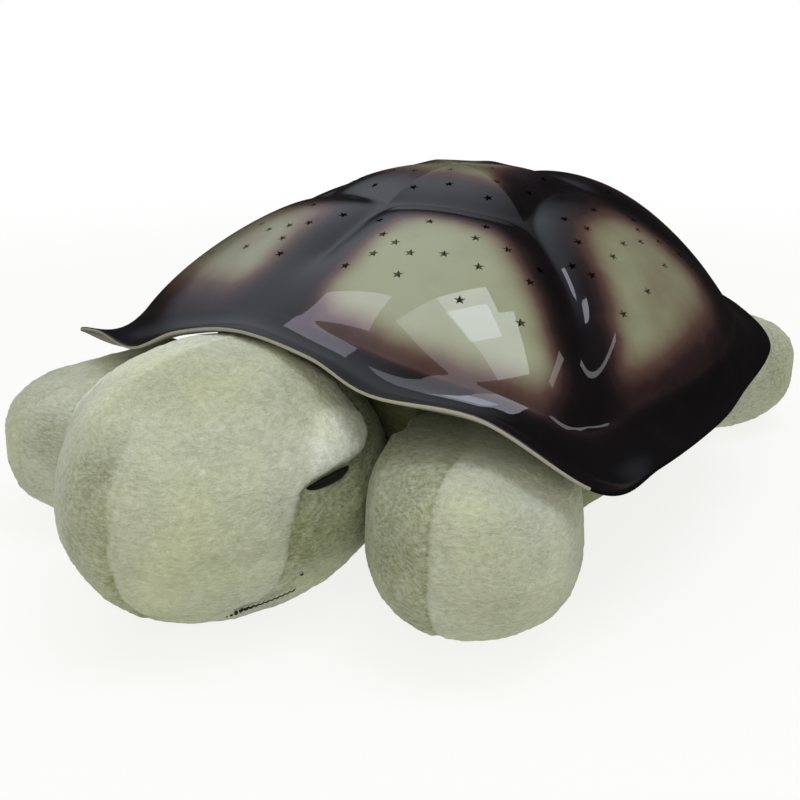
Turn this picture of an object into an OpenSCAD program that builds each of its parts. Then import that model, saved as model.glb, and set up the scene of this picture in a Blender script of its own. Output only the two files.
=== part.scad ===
// Star night light projector: a stuffed turtle whose pierced hard shell covers a battery lamp.
// Origin on the floor under the middle of the shell, head along -Y, +Z up, millimetres.

/* [Shell] */
// Width of the shell over its widest brim points
shell_w = 246; // [240:1:262]
// Length of the shell over its front and rear brim
shell_l = 235; // [230:1:250]
// Height of the dome's crown over the floor
shell_h = 125; // [120:1:135]
// Wall of the moulded shell
shell_wall = 2; // [1.6:0.1:2.6]
// Share of the dome's radius that the six-sided crown scute takes
crown_share = 0.43; // [0.38:0.01:0.48]
// Depth of the grooves between the scutes
groove_depth = 6; // [4:0.5:7]
// Width of the groove's soft shoulder
groove_w = 11; // [8:1:13]
// Swell of each scute over the plain dome
scute_swell = 3; // [2:0.5:4]
// Hollow of the flared brim between crease and rim
brim_sag = 3; // [1:0.5:4]
// Radius of a star hole over its points
star_r = 2; // [1.5:0.1:2.4]
// Radius of the posts that carry the shell
post_r = 5; // [4.5:0.1:5.5]

/* [Buttons] */
// Length of the raised button panel
panel_l = 60; // [60:1:64]
// Width of the raised button panel
panel_w = 15; // [14:0.5:18]
// Diameter of a button's cap
button_d = 8.8; // [7.5:0.1:9.4]
// Distance from one button to the next
button_pitch = 13; // [12:0.1:13.5]
// Stroke of a button
button_travel = 0.8; // [0.5:0.1:1]
// Height of a cap over the panel
button_rise = 1.5; // [1.2:0.1:2]

/* [Stuffed body] */
// Width of the stuffed body
body_w = 194; // [188:1:200]
// Length of the body from its middle to the neck seam
body_front = 82; // [80:1:83]
// Length of the body from its middle to the tail
body_rear = 86; // [84:1:88]
// Thickness of the stuffing under the lamp housing
belly_t = 12.5; // [11:0.5:13]

/* [Head] */
// Width of the stuffed head
head_w = 104; // [98:1:108]
// Length of the stuffed head
head_l = 119; // [116:1:122]
// Height of the head over the floor
head_h = 84.5; // [78:0.5:84.5]
// Turn of the head to the turtle's left
head_turn = 10; // [0:1:14]

/* [Flippers and feet] */
// Width of a front flipper
flipper_w = 68; // [62:1:70]
// Length of a front flipper
flipper_l = 100; // [96:1:104]
// Height of a front flipper
flipper_h = 57; // [52:1:58]
// Angle of the left flipper from straight ahead
left_splay = 35; // [32:1:38]
// Rise of the left flipper's tip
left_lift = 8; // [0:1:9]
// Angle of the right flipper from straight ahead
right_splay = 25; // [22:1:30]
// Rise of the right flipper's tip
right_lift = 0; // [0:1:9]
// Width of a rear foot
foot_w = 64; // [58:1:66]
// Length of a rear foot
foot_l = 86; // [82:1:90]
// Height of a rear foot
foot_h = 50; // [46:1:54]
// Angle of a rear foot from straight ahead
foot_splay = 142; // [138:1:148]
// Length of the tail
tail_l = 36; // [30:1:40]
// Width of the tail
tail_w = 23; // [18:1:24]

/* [Lamp housing] */
// Outer radius of the housing's well
well_r = 62; // [60:1:63]
// Wall of the housing
housing_wall = 2.5; // [2:0.1:3]
// Floor of the housing, which the battery door is let into
floor_t = 5; // [5:0.1:6]
// Height of the well from its floor's underside to the flange
well_h = 44; // [43:0.5:46]
// Half width of the flange that carries the shell
flange_a = 80; // [79:1:81]
// Half length of the flange that carries the shell
flange_b = 76; // [75:0.5:76.5]
// Radius of the lamp post
lamp_post_r = 8; // [7:0.1:9]
// Diameter of a lamp
led_d = 5; // [3:1:5]

/* [Batteries] */
// Diameter of a cell
cell_d = 10.5; // [10.2:0.1:10.6]
// Length of a cell over its contact
cell_l = 44.5; // [43:0.1:44.6]
// Thickness of the battery door
door_t = 3; // [2.6:0.1:3.2]

/* [Belly flap] */
// Thickness of the fabric flap
flap_t = 2.4; // [2:0.1:2.6]
// Margin of the flap beyond the belly opening at each side
flap_margin = 6.5; // [6:0.1:8]

/* [Hidden] */
$fn = 40;

// Clearances
soft_gap = 1.2;      // between stuffed pieces that move against each other
seat_gap = 0.3;      // between the stuffed body and the housing it is fitted round
fit_gap = 0.3;       // between hard pieces that move
face_gap = 0.2;      // between hard pieces that are screwed together
pin_gap = 0.06;      // running fit of a hinge pin
screw_gap = 0.05;    // screw in its pilot hole

// Heights, from the floor up
tray_z = belly_t + seat_gap + 1.2;
floor_z = tray_z + floor_t;
flange_t = 2.5;
flange_z = tray_z + well_h;
deck_z = flange_z + flange_t + face_gap;
deck_t = 2;
lamp_z = deck_z + deck_t + 3.3;
shelf_z = flange_z - 9;

// Shell outlines: right half from head to tail every 15 degrees, drawn 246 wide and 235 long
drawn_w = 246;
drawn_l = 235;
crease_half = [[0, -103, 92], [28, -104, 88], [57, -100, 82], [86, -87, 73], [101, -70, 64],
               [105, -40, 66], [108, -9, 68], [106, 22, 71], [95, 52, 75], [75, 75, 77],
               [51, 88, 79], [26, 95, 80], [0, 97, 81]];
rim_half = [[0, -119, 87], [31, -118, 82], [54, -117, 76], [86, -106, 74], [119, -93, 56],
            [123, -63, 55], [121, -14, 54], [113, 26, 51], [106, 70, 58], [83, 92, 66],
            [54, 105, 71], [26, 113, 74], [0, 116, 75]];
dome_mid = 2.5;      // the dome's middle lies a little behind the origin
dome_power = 2.1;    // fullness of the dome's curve at the head
dome_fuller = 1.3;   // what the tail end has more
groove_bow = 1.3;    // how far the grooves bow on their way down

// ---------------------------------------------------------------- curves and lofts

function unit(v) = v / norm(v);
function bend(v, p) = sign(v) * pow(abs(v), p);
function stretch(p) = [p[0] * shell_w / drawn_w, p[1] * shell_l / drawn_l, p[2]];
function both_sides(half) = [for (i = [0 : 2 * len(half) - 3])
    let (p = stretch(i < len(half) ? half[i] : half[2 * len(half) - 2 - i]))
    i < len(half) ? p : [-p[0], p[1], p[2]]];
function wrap(k, i) = k[(i + len(k)) % len(k)];
function spline(k, t) =
    let (u = t / 360 * len(k), i = floor(u), f = u - i,
         a = wrap(k, i - 1), b = wrap(k, i), c = wrap(k, i + 1), d = wrap(k, i + 2))
    0.5 * (2 * b + (c - a) * f + (2 * a - 5 * b + 4 * c - d) * f * f
           + (3 * b - a - 3 * c + d) * f * f * f);

// A closed body through rings of equal count; flat ends are one face, a pole is one point
module loft(rings, pole_top = undef) {
    n = len(rings[0]);
    m = len(rings);
    points = [for (r = rings) each r];
    sides = [for (j = [0 : m - 2], i = [0 : n - 1])
        let (a = j * n + i, b = j * n + (i + 1) % n, c = b + n, d = a + n)
        each [[a, c, b], [a, d, c]]];
    bottom = [[for (i = [0 : n - 1]) i]];
    top = is_undef(pole_top)
        ? [[for (i = [n - 1 : -1 : 0]) (m - 1) * n + i]]
        : [for (i = [0 : n - 1]) [(m - 1) * n + i, m * n, (m - 1) * n + (i + 1) % n]];
    polyhedron(is_undef(pole_top) ? points : concat(points, [pole_top]),
               concat(bottom, sides, top), convexity = 6);
}

// A round lead or wire along a path; side is a direction that the path never runs along
module tube(path, r, n, side) {
    m = len(path);
    rings = [for (i = [0 : m - 1])
        let (t = unit(path[min(i + 1, m - 1)] - path[max(i - 1, 0)]),
             a = unit(cross(side, t)), b = cross(t, a))
        [for (k = [0 : n - 1]) path[i] + r * (cos(360 * k / n) * a + sin(360 * k / n) * b)]];
    loft(rings);
}

// ---------------------------------------------------------------- shell

crease = both_sides(crease_half);
rim = both_sides(rim_half);

function crown_edge(t) = crown_share * cos(30) / cos((t % 60) - 30);
function turn_of(v) = atan2(v[0], -v[1]);
function half_turn(a) = (a + 540) % 360 - 180;

// Point and outward direction on the dome at angle t and share s of the radius
function dome(t, s) =
    let (c = spline(crease, t), v = [c[0], c[1] - dome_mid], r = norm(v), h = shell_h - c[2],
         power = dome_power + dome_fuller * pow((1 - cos(t)) / 2, 2),
         heading = turn_of(v) + half_turn(t - turn_of(v)) * (1 - pow(s, 4)) * groove_bow,
         dir = [sin(heading), -cos(heading)],
         to_groove = r * s * sin(min(t % 60, 60 - t % 60)),
         to_crown = (s - crown_edge(t)) * r,
         away = s < crown_edge(t) ? -to_crown * 0.9
                : max(0, -4 * ln(exp(-to_groove / 4) + exp(-to_crown / 4))),
         steep = s == 0 ? 0 : power * h * pow(s, power - 1) / r,
         out = unit([steep * dir[0], steep * dir[1], 1]),
         lift = (scute_swell - groove_depth * exp(-away / groove_w)) * (1 - pow(s, 10)))
    [[s * r * dir[0], dome_mid + s * r * dir[1], shell_h - h * pow(s, power)] + lift * out, out];

function brim(t, s) =
    let (c = spline(crease, t), e = spline(rim, t))
    c + (e - c) * s - [0, 0, brim_sag * sin(180 * s)];

// Columns lie closer at the grooves, rings closer at the crown's edge
column_steps = [0, 3, 7, 13, 20, 30, 40, 47, 53, 57];
columns = [for (k = [0 : 5], a = column_steps) 60 * k + a];
crown_rings = [0.35, 0.7, 0.9];
scute_rings = [0, 0.06, 0.16, 0.32, 0.5, 0.68, 0.86];
brim_rings = [0.35, 0.7, 1];
top_point = dome(0, 0)[0];

function skin_rows(down) = concat(
    [for (f = crown_rings) [for (t = columns)
        let (d = dome(t, f * crown_edge(t))) d[0] - down * d[1]]],
    [for (g = scute_rings) [for (t = columns)
        let (e = crown_edge(t), d = dome(t, e + (1 - e) * g)) d[0] - down * d[1]]],
    [[for (t = columns) spline(crease, t) - down * unit(unit(dome(t, 0.999)[1]) + [0, 0, 1])]],
    [for (s = brim_rings) [for (t = columns) brim(t, s) - [0, 0, down]]]);

module shell_skin() {
    outer = skin_rows(0);
    inner = skin_rows(shell_wall);
    n = len(columns);
    m = len(outer);
    top_out = 2 * m * n;
    points = concat([for (r = outer) each r], [for (r = inner) each r],
                    [top_point, top_point - [0, 0, shell_wall]]);
    wall = [for (j = [0 : m - 2], i = [0 : n - 1])
        let (a = j * n + i, b = j * n + (i + 1) % n, c = b + n, d = a + n, o = m * n)
        each [[a, b, c], [a, c, d], [a + o, c + o, b + o], [a + o, d + o, c + o]]];
    edge = [for (i = [0 : n - 1])
        let (a = (m - 1) * n + i, b = (m - 1) * n + (i + 1) % n, o = m * n)
        each [[a, b, b + o], [a, b + o, a + o]]];
    crown = [for (i = [0 : n - 1]) let (b = (i + 1) % n, o = m * n)
        each [[i, top_out, b], [i + o, b + o, top_out + 1]]];
    polyhedron(points, concat(wall, edge, crown), convexity = 8);
}

// Star places, one point uphill: [degrees from the scute's middle, share of the way down to the crease]
scute_stars = [[6, 0.68], [17, 0.7], [10, 0.48], [2, 0.46], [-7, 0.64], [-6, 0.5], [-11, 0.45],
               [10, 0.3], [18, 0.32], [25, 0.38], [21, 0.48], [14, 0.18], [-4, 0.24],
               [-16, 0.4], [-15, 0.55], [-20, 0.66], [-22, 0.26]];
crown_stars = [[20, 0.3], [95, 0.35], [150, 0.25], [215, 0.4], [280, 0.3], [335, 0.45],
               [5, 0.75], [50, 0.8], [110, 0.78], [170, 0.72], [240, 0.8], [300, 0.76],
               [62, 0.55], [128, 0.6], [188, 0.55], [255, 0.58], [312, 0.52], [28, 0.66],
               [80, 0.85], [142, 0.84], [268, 0.9], [332, 0.82]];
star_points = [for (i = [0 : 9]) let (r = i % 2 == 0 ? star_r : 0.42 * star_r)
    [-r * cos(36 * i), r * sin(36 * i)]];

module star_at(t, s) {
    d = dome(t, s);
    translate(d[0]) rotate([0, acos(d[1][2]), atan2(d[1][1], d[1][0])])
        linear_extrude(height = 5 * shell_wall, center = true) polygon(star_points);
}

module star_holes() {
    for (k = [0 : 5], p = scute_stars) {
        t = (60 * k + 30 + (k % 2 == 0 ? p[0] : -p[0])) % 360;
        on_panel = abs(t - 180) < 34 && p[1] > 0.2;
        if (!on_panel) star_at(t, crown_edge(t) + (1 - crown_edge(t)) * p[1]);
    }
    for (p = crown_stars) star_at(p[0], p[1] * crown_edge(p[0]));
}

// Button panel: local X along the row, local Z out of the panel
panel_tilt = 41;
panel_mid = [0, dome_mid + 0.79 * (shell_l / drawn_l * 97 - dome_mid), shell_h - 18];
panel_depth = 6;
panel_round = 3;
button_x = [for (i = [0 : 3]) (i - 1.5) * button_pitch];
lip = 1;
lip_t = 1.2;
stem_len = 1.5;
plunger_h = 1.5;
switch_h = 3.5;
board_t = 1.6;
lip_depth = panel_depth + fit_gap + lip_t;
board_depth = lip_depth + stem_len + button_travel + face_gap + plunger_h + switch_h;
board_x = panel_l / 2 - 2.4;
board_w = 13;
board_end = 3;
board_post_r = 2.3;
small_screw_r = 1;

module on_panel() { translate(panel_mid) rotate([-panel_tilt, 0, 0]) children(); }
function panel_point(x, y, z) = panel_mid + [x, y * cos(panel_tilt) + z * sin(panel_tilt),
                                             z * cos(panel_tilt) - y * sin(panel_tilt)];

module panel_block(grow, low, high) {
    translate([0, 0, low]) linear_extrude(high - low) offset(r = panel_round + grow)
        square([panel_l - 2 * panel_round, panel_w - 2 * panel_round], center = true);
}

post_turn = 28.9;    // of the shell posts' places, from the side
post_reach = (well_r + flange_a) / 2 - 0.2;
post_spots = [for (x = [-1, 1], y = [-1, 1]) post_reach * [x * cos(post_turn), y * sin(post_turn)]];
pilot_r = 1.5;

module shell_posts() {
    for (p = post_spots) translate([p[0], p[1], flange_z + flange_t + face_gap])
        cylinder(r = post_r, h = shell_h - flange_z, $fn = 24);
}

// Everything inside the dome's outer face, to trim the posts
module dome_core() {
    rows = skin_rows(shell_wall / 2);
    foot = [for (p = rows[10]) [p[0], p[1], 0]];
    loft([foot, for (j = [10 : -1 : 0]) rows[j]], top_point - [0, 0, shell_wall / 2]);
}

module shell() {
    color("#3a231d") resize([0, 0, 0]) difference() {
        union() {
            shell_skin();
            intersection() { shell_posts(); dome_core(); }
        }
        star_holes();
        on_panel() panel_block(0.1, -4 * panel_depth, panel_depth);
        for (p = post_spots) translate([p[0], p[1], flange_z]) cylinder(r = pilot_r, h = 16, $fn = 20);
    }
}

// ---------------------------------------------------------------- buttons and their board

module button_panel() {
    color("#2c1b17") on_panel() difference() {
        union() {
            translate([0, 0, -panel_depth]) linear_extrude(panel_depth) difference() {
                square([panel_l, panel_w], center = true);
                for (i = [-1, 1], j = [-1, 1]) translate([i * panel_l / 2, j * panel_w / 2]) difference() {
                    square(2 * panel_round, center = true);
                    translate([-i * panel_round, -j * panel_round]) circle(r = panel_round);
                }
            }
            for (x = [-board_x, board_x]) translate([x, 0, -board_depth])
                cylinder(r = board_post_r, h = board_depth - 1);
        }
        for (x = button_x) translate([x, 0, -2 * panel_depth])
            cylinder(r = button_d / 2 + fit_gap, h = 3 * panel_depth);
        for (x = [-board_x, board_x]) translate([x, 0, -board_depth - 1])
            cylinder(r = small_screw_r + screw_gap, h = 8);
    }
}

module button(i, tint) {
    color(tint) on_panel() translate([button_x[i], 0, 0]) {
        translate([0, 0, -lip_depth]) cylinder(r = button_d / 2, h = button_rise + lip_depth);
        translate([0, 0, -lip_depth]) cylinder(r = button_d / 2 + lip, h = lip_t);
        translate([0, 0, -lip_depth - stem_len]) cylinder(r = 2, h = stem_len);
    }
}

module power_button() { button(0, "#e9e2c8"); }
module blue_button() { button(1, "#3d6fb5"); }
module green_button() { button(2, "#4d9a55"); }
module amber_button() { button(3, "#d98f2b"); }

module tact_switches() {
    color("#26272a") on_panel() for (x = button_x) translate([x, 0, -board_depth]) {
        translate([-3, -3, 0]) cube([6, 6, switch_h]);
        cylinder(r = 1.7, h = switch_h + plunger_h);
    }
}

module control_board() {
    color("#2f6b3c") on_panel() difference() {
        translate([-board_x - board_end, -board_w / 2, -board_depth - board_t])
            cube([2 * (board_x + board_end), board_w, board_t]);
        for (x = [-board_x, board_x]) translate([x, 0, -board_depth - 2 * board_t])
            cylinder(r = small_screw_r + fit_gap, h = 3 * board_t);
    }
}

module control_board_screws() {
    color("#b9bcc0") on_panel() for (x = [-board_x, board_x])
        translate([x, 0, -board_depth - board_t]) {
            translate([0, 0, -1.4]) cylinder(r = 2, h = 1.4);
            cylinder(r = small_screw_r, h = board_t + 6);
        }
}

// ---------------------------------------------------------------- lamp housing

cell_gap = 0.5;
cell_count = 3;
cell_mid_y = 30;
bay_x = cell_l / 2 + 2.95;
bay_y = (cell_count * (cell_d + cell_gap) + 1) / 2;
bay_h = cell_d + 2.5;
bay_wall = 1.6;
seat = 1.8;
door_front = cell_mid_y - bay_y - 6;
door_rear = cell_mid_y + bay_y + 3.5;
door_half = bay_x + seat;
hinge_y = door_rear - door_t / 2;
hinge_z = tray_z + door_t / 2;
hinge_pin_r = 0.9;
hinge_pin_l = 2;
door_screw_y = door_front + 3.5;
door_screw_r = 1.25;
board_posts = [for (x = [-34, 34], y = [-22, 28]) [x, y]];
main_board_z = floor_z + bay_h + bay_wall + 4.4;
deck_screw_spots = [[0, 1], [0, -1], [1, 0], [-1, 0]];
deck_screw_r = 1.45;

slot_y = well_r - 14;    // where the ribbon passes the deck

function ellipse(a, b) = [for (t = [0 : 5 : 355]) [a * cos(t), b * sin(t)]];
function rim_mid(k) = [k[0] * (well_r + flange_a - 6) / 2, k[1] * (well_r + flange_b - 3) / 2];

module base_tray() {
    color("#1f2a22") difference() {
        union() {
            rotate_extrude() polygon([
                [0, tray_z], [well_r - 3, tray_z], [well_r, tray_z + 3], [well_r, flange_z + flange_t],
                [well_r - housing_wall, flange_z + flange_t], [well_r - housing_wall, floor_z],
                [0, floor_z]]);
            translate([0, 0, flange_z]) linear_extrude(flange_t) difference() {
                polygon(ellipse(flange_a, flange_b));
                circle(r = well_r - housing_wall / 2);
            }
            for (k = deck_screw_spots) translate([rim_mid(k)[0], rim_mid(k)[1], flange_z - 8])
                cylinder(r = 3, h = 9);
            for (p = board_posts) translate([p[0], p[1], floor_z - 1])
                cylinder(r = 3, h = main_board_z - floor_z + 1);
            translate([-bay_x - bay_wall, cell_mid_y - bay_y - bay_wall, floor_z - 1])
                cube([2 * (bay_x + bay_wall), 2 * (bay_y + bay_wall), bay_h + bay_wall + 1]);
            translate([0, door_screw_y, floor_z - 1]) cylinder(r = 3.5, h = 6);
            for (s = [-1, 1]) translate([s * (door_half + fit_gap + 1.6), hinge_y, hinge_z])
                rotate([0, 90, 0]) cylinder(r = 2.4, h = 3, center = true);
        }
        translate([-bay_x, cell_mid_y - bay_y, tray_z - 1])
            cube([2 * bay_x, 2 * bay_y, bay_h + floor_t + 1]);
        translate([-door_half - fit_gap, door_front - fit_gap, tray_z - 3])
            cube([2 * (door_half + fit_gap), door_rear - door_front + 2 * fit_gap,
                  door_t + 3 + face_gap]);
        translate([0, door_screw_y, tray_z]) cylinder(r = door_screw_r + 0.75, h = floor_t + 4);
        translate([-door_half - hinge_pin_l - 1.2, hinge_y, hinge_z]) rotate([0, 90, 0])
            cylinder(r = hinge_pin_r + pin_gap, h = 2 * (door_half + hinge_pin_l + 1.2));
        for (p = board_posts) translate([p[0], p[1], floor_z + 4])
            cylinder(r = small_screw_r + screw_gap, h = main_board_z - floor_z);
        for (k = deck_screw_spots) translate([rim_mid(k)[0], rim_mid(k)[1], flange_z - 7])
            cylinder(r = deck_screw_r + screw_gap, h = 12);
        for (p = post_spots) translate([p[0], p[1], flange_z - 1]) cylinder(r = 1.8, h = 5);
    }
}

module light_deck() {
    color("#15161a") difference() {
        translate([0, 0, deck_z]) linear_extrude(deck_t) difference() {
            polygon(ellipse(flange_a - 2, flange_b - 2));
            circle(r = lamp_post_r + 6);
            for (p = post_spots) translate(p) circle(r = post_r + 0.8);
            translate([0, slot_y]) square([16, 5], center = true);
        }
        for (k = deck_screw_spots) translate([rim_mid(k)[0], rim_mid(k)[1], deck_z - 1])
            cylinder(r = 1.8, h = deck_t + 2);
    }
}

module deck_screws() {
    color("#b9bcc0") for (k = deck_screw_spots) translate([rim_mid(k)[0], rim_mid(k)[1], 0]) {
        translate([0, 0, deck_z + deck_t]) cylinder(r = 2.8, h = 1.8);
        translate([0, 0, flange_z - 6]) cylinder(r = deck_screw_r, h = deck_z + deck_t - flange_z + 6);
    }
}

module shell_screws() {
    color("#b9bcc0") for (p = post_spots) translate([p[0], p[1], 0]) {
        translate([0, 0, flange_z - 2.4]) cylinder(r = 3, h = 2.4);
        translate([0, 0, flange_z - 0.2]) cylinder(r = pilot_r - screw_gap - 0.05, h = 13);
    }
}

module battery_door() {
    color("#1f2a22") difference() {
        union() {
            translate([-door_half, door_front, tray_z])
                cube([2 * door_half, hinge_y - door_front, door_t]);
            translate([-door_half, hinge_y, hinge_z]) rotate([0, 90, 0])
                cylinder(r = door_t / 2, h = 2 * door_half);
            translate([-door_half - hinge_pin_l, hinge_y, hinge_z]) rotate([0, 90, 0])
                cylinder(r = hinge_pin_r, h = 2 * (door_half + hinge_pin_l));
        }
        translate([0, door_screw_y, tray_z - 1]) cylinder(r = door_screw_r + 0.15, h = door_t + 2);
        translate([0, door_screw_y, tray_z - 1]) cylinder(r = 2.9, h = 2.7);
    }
}

module battery_door_screw() {
    color("#b9bcc0") translate([0, door_screw_y, tray_z + 0.2]) {
        cylinder(r = 2.6, h = 1.5);
        cylinder(r = door_screw_r, h = door_t + 4.5);
    }
}

function cell_y(i) = cell_mid_y + (i - (cell_count - 1) / 2) * (cell_d + cell_gap);
function cell_way(i) = i % 2 == 0 ? 1 : -1;
cell_z = tray_z + door_t + face_gap + (floor_t - door_t) / 2 + bay_h / 2 + 0.5;
plate_t = 0.5;
nub_l = 1;
cell_end = bay_x - plate_t - 0.2;

module along_cells() {
    for (i = [0 : cell_count - 1]) translate([0, cell_y(i), cell_z])
        rotate([0, 90 * cell_way(i), 0]) children();
}

module batteries() {
    color("#8f9aa3") along_cells() translate([0, 0, cell_end - cell_l]) {
        cylinder(d = cell_d, h = cell_l - nub_l);
        cylinder(d = 3.8, h = cell_l);
    }
}

module contact_springs() {
    turns = 3;
    start = -bay_x + plate_t + 0.5;
    free_l = cell_end - cell_l - start - 0.5;
    coil = [for (k = [0 : 9 * turns]) let (f = k / (9 * turns), r = 3.6 - 1.6 * f)
        [r * cos(40 * k), r * sin(40 * k), start + free_l * f]];
    color("#c9ccd0") along_cells() tube(coil, 0.35, 5, [0, 0, 1]);
}

module contact_plates() {
    color("#c9ccd0") for (i = [0 : cell_count - 1], s = [-1, 1])
        translate([s * (bay_x - 0.1 - plate_t / 2), cell_y(i), cell_z])
            cube([plate_t, cell_d - 1.5, 8.5], center = true);
}

module main_board() {
    color("#2f6b3c") difference() {
        translate([-39, -27, main_board_z]) cube([78, 60, board_t]);
        for (p = board_posts) translate([p[0], p[1], main_board_z - 1]) cylinder(r = 1.3, h = 4);
    }
}

module main_board_screws() {
    color("#b9bcc0") for (p = board_posts) translate([p[0], p[1], main_board_z + board_t]) {
        cylinder(r = 2, h = 1.4);
        translate([0, 0, -board_t - 7]) cylinder(r = small_screw_r, h = board_t + 7.2);
    }
}

plug_half = 4.5;
plug_y = 26;
plug_h = 3.2;

module board_components() {
    top = main_board_z + board_t;
    color("#17181a") {
        translate([-26, -8, top]) cube([10, 15, 2.6]);
        translate([18, -18, top]) cylinder(r = 3.2, h = 9);
        translate([27, -14, top]) cylinder(r = 2.5, h = 7);
        translate([-plug_half, plug_y - 2, top]) cube([2 * plug_half, 4, plug_h]);
        translate([-16, 18, top]) cube([8, 8, 1.6]);
        for (i = [0 : 4]) translate([-30 + 6 * i, -23, top]) cube([3.2, 1.6, 0.8]);
    }
}

module led_post() {
    color("#e4e2da") translate([0, 0, main_board_z + board_t]) difference() {
        union() {
            cylinder(r = lamp_post_r, h = lamp_z - main_board_z - board_t);
            cylinder(r = lamp_post_r + 4, h = 2);
        }
        translate([0, 0, -1]) cylinder(r = lamp_post_r - 1.5, h = lamp_z - main_board_z + 2);
    }
}

led_board_r = lamp_post_r + 5;
led_ring = 6.5;

module led_board() {
    color("#e9ebe6") difference() {
        translate([0, 0, lamp_z]) cylinder(r = led_board_r, h = board_t);
        for (a = [30 : 120 : 270]) rotate([0, 0, a]) translate([lamp_post_r - 3, 0, lamp_z - 1])
            cylinder(r = 0.7, h = board_t + 2);
    }
}

module led(a, tint) {
    color(tint) rotate([0, 0, a]) translate([led_ring, 0, lamp_z + board_t]) {
        cylinder(d = led_d + 0.8, h = 1);
        cylinder(d = led_d, h = led_d + 1);
        translate([0, 0, led_d + 1]) sphere(d = led_d);
    }
}

module led_blue() { led(90, "#8fb4ff"); }
module led_green() { led(210, "#9be8a0"); }
module led_amber() { led(330, "#ffc878"); }

module led_leads() {
    color("#d8c9a0") for (a = [30 : 120 : 270]) rotate([0, 0, a])
        translate([lamp_post_r - 3, 0, main_board_z + board_t])
            cylinder(r = 0.6, h = lamp_z + 2 - main_board_z);
}

// Internal leads on fixed routes, from board to board and from the battery bay to the board
board_top = main_board_z + board_t;
ribbon_path = concat(
    [for (k = [0 : 2]) panel_point(0, -1.2 * k * (k - 1), -board_depth - board_t - 0.1 - 3 * k)],
    [[0, slot_y + 2, deck_z + 17], [0, slot_y + 0.4, deck_z + 9], [0, slot_y, deck_z + 3],
     [0, slot_y, deck_z - 3], [0, slot_y - 1.5, deck_z - 7.5], [0, slot_y - 6, board_top + 10],
     [0, plug_y + 9, board_top + 9], [0, plug_y + 3, board_top + 8.4],
     [0, plug_y + 0.6, board_top + 7], [0, plug_y, board_top + 5.2],
     [0, plug_y, board_top + plug_h + 0.1]]);
lead_path = [[bay_x + bay_wall + 0.1, 41, 27], [28.4, 41, 27], [29.8, 40.6, 29], [30.4, 39, 33.4],
             [30.6, 36.8, 38], [29.6, 33.6, 41.6], [27, 29.8, 43.6], [24.6, 26.8, 43.6],
             [23, 25, 41.8], [23, 25, board_top + 0.1]];

module button_ribbon() {
    color("#9a9da1") for (i = [-2 : 2]) tube([for (p = ribbon_path) p + [1.3 * i, 0, 0]], 0.6, 6, [1, 0, 0]);
}

module battery_lead_red() { color("#b3251e") tube(lead_path, 0.8, 8, [0, 1, 0]); }
module battery_lead_black() {
    color("#1b1b1d") tube([for (p = lead_path) [-p[0], p[1], p[2]]], 0.8, 8, [0, 1, 0]);
}

// ---------------------------------------------------------------- stuffed pieces

// Stuffed shape along -Y: half sizes a and b, top at height h, cut flat by the floor later on.
// Look holds [fullness upwards, fullness in plan, how much wider the rear end is, how far the
// full shape would reach under the floor, and fullness upwards of the rear half]
head_look = [1, 1.08, 0.15, 3, 1];
limb_look = [0.89, 0.92, 0, 0.5, 0.5];

function plump_point(a, b, h, look, side, up, grow = 0) =
    let (half = (h + look[3]) / 2, c = bend(cos(up), look[0]),
         y = -(b * bend(cos(up), look[cos(side) < 0 ? 4 : 0]) + grow) * bend(cos(side), look[1]))
    [(a * c + grow) * bend(sin(side), look[1]) * (1 + look[2] * y / b), y,
     half - look[3] + half * bend(sin(up), look[0])];

module plump(a, b, h, look, n, rows) {
    loft([for (k = [0 : rows - 1]) let (up = -86 + 172 * k / rows)
              [for (i = [0 : n - 1]) plump_point(a, b, h, look, 360 * i / n, up)]],
         [0, 0, h]);
}

head_set = 47.5;     // from the neck seam to the head's middle
head_mid = -body_front - head_set;

function head_outline(grow) =
    [for (i = [0 : 47]) let (p = plump_point(head_w / 2, head_l / 2, head_h, head_look, 7.5 * i, 0, grow))
        [p[0], p[1]]];

module at_head() { translate([0, head_mid, 0]) rotate([0, 0, head_turn]) children(); }

module head_form() { plump(head_w / 2, head_l / 2, head_h, head_look, 32, 18); }

module head() {
    color("#a9ad84") intersection() {
        at_head() head_form();
        translate([-head_w, -body_front - 0.05 - 2 * head_l, 0]) cube([2 * head_w, 2 * head_l, 2 * head_h]);
    }
}

// Place on the head's skin: side is the angle from the nose, up the latitude, off the height over it
function head_point(side, up, off) =
    let (p = plump_point(head_w / 2, head_l / 2, head_h, head_look, side, up),
         half = (head_h + head_look[3]) / 2,
         out = unit([4 * p[0] / (head_w * head_w), 4 * p[1] / (head_l * head_l),
                     (p[2] - half + head_look[3]) / (half * half)]))
    p + off * out;

// Half-closed eyes: a domed patch on each side, drawn in degrees of the head's surface
eye_side = 80;
eye_up = 15.5;
eye_half_l = 10;
eye_half_h = 4;
function eye_ring(k, off) = [for (i = [0 : 15]) let (a = 22.5 * i)
    head_point(eye_side + k * eye_half_l * cos(a), eye_up + k * eye_half_h * sin(a), off)];

module eye(s) {
    color("#14151c") resize([0, 0, 0]) at_head() mirror([s < 0 ? 1 : 0, 0, 0]) difference() {
        loft([eye_ring(1, -2), eye_ring(1, 0.4), eye_ring(0.75, 1.1), eye_ring(0.4, 1.4)],
             head_point(eye_side, eye_up, 1.5));
        scale([1.001, 1.001, 1.001]) head_form();
    }
}

module left_eye() { eye(1); }
module right_eye() { eye(-1); }

mouth_end = 68;      // side angle of the mouth's corners
mouth_low = -50;
mouth_rise = 19;
mouth_r = 0.6;

module mouth_stitching() {
    path = [for (k = [-12 : 12])
        head_point(mouth_end * k / 12, mouth_low + mouth_rise * pow(k / 12, 2), mouth_r + 0.1)];
    color("#26281f") at_head() tube(path, mouth_r, 6, [0, 0, 1]);
}

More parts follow.
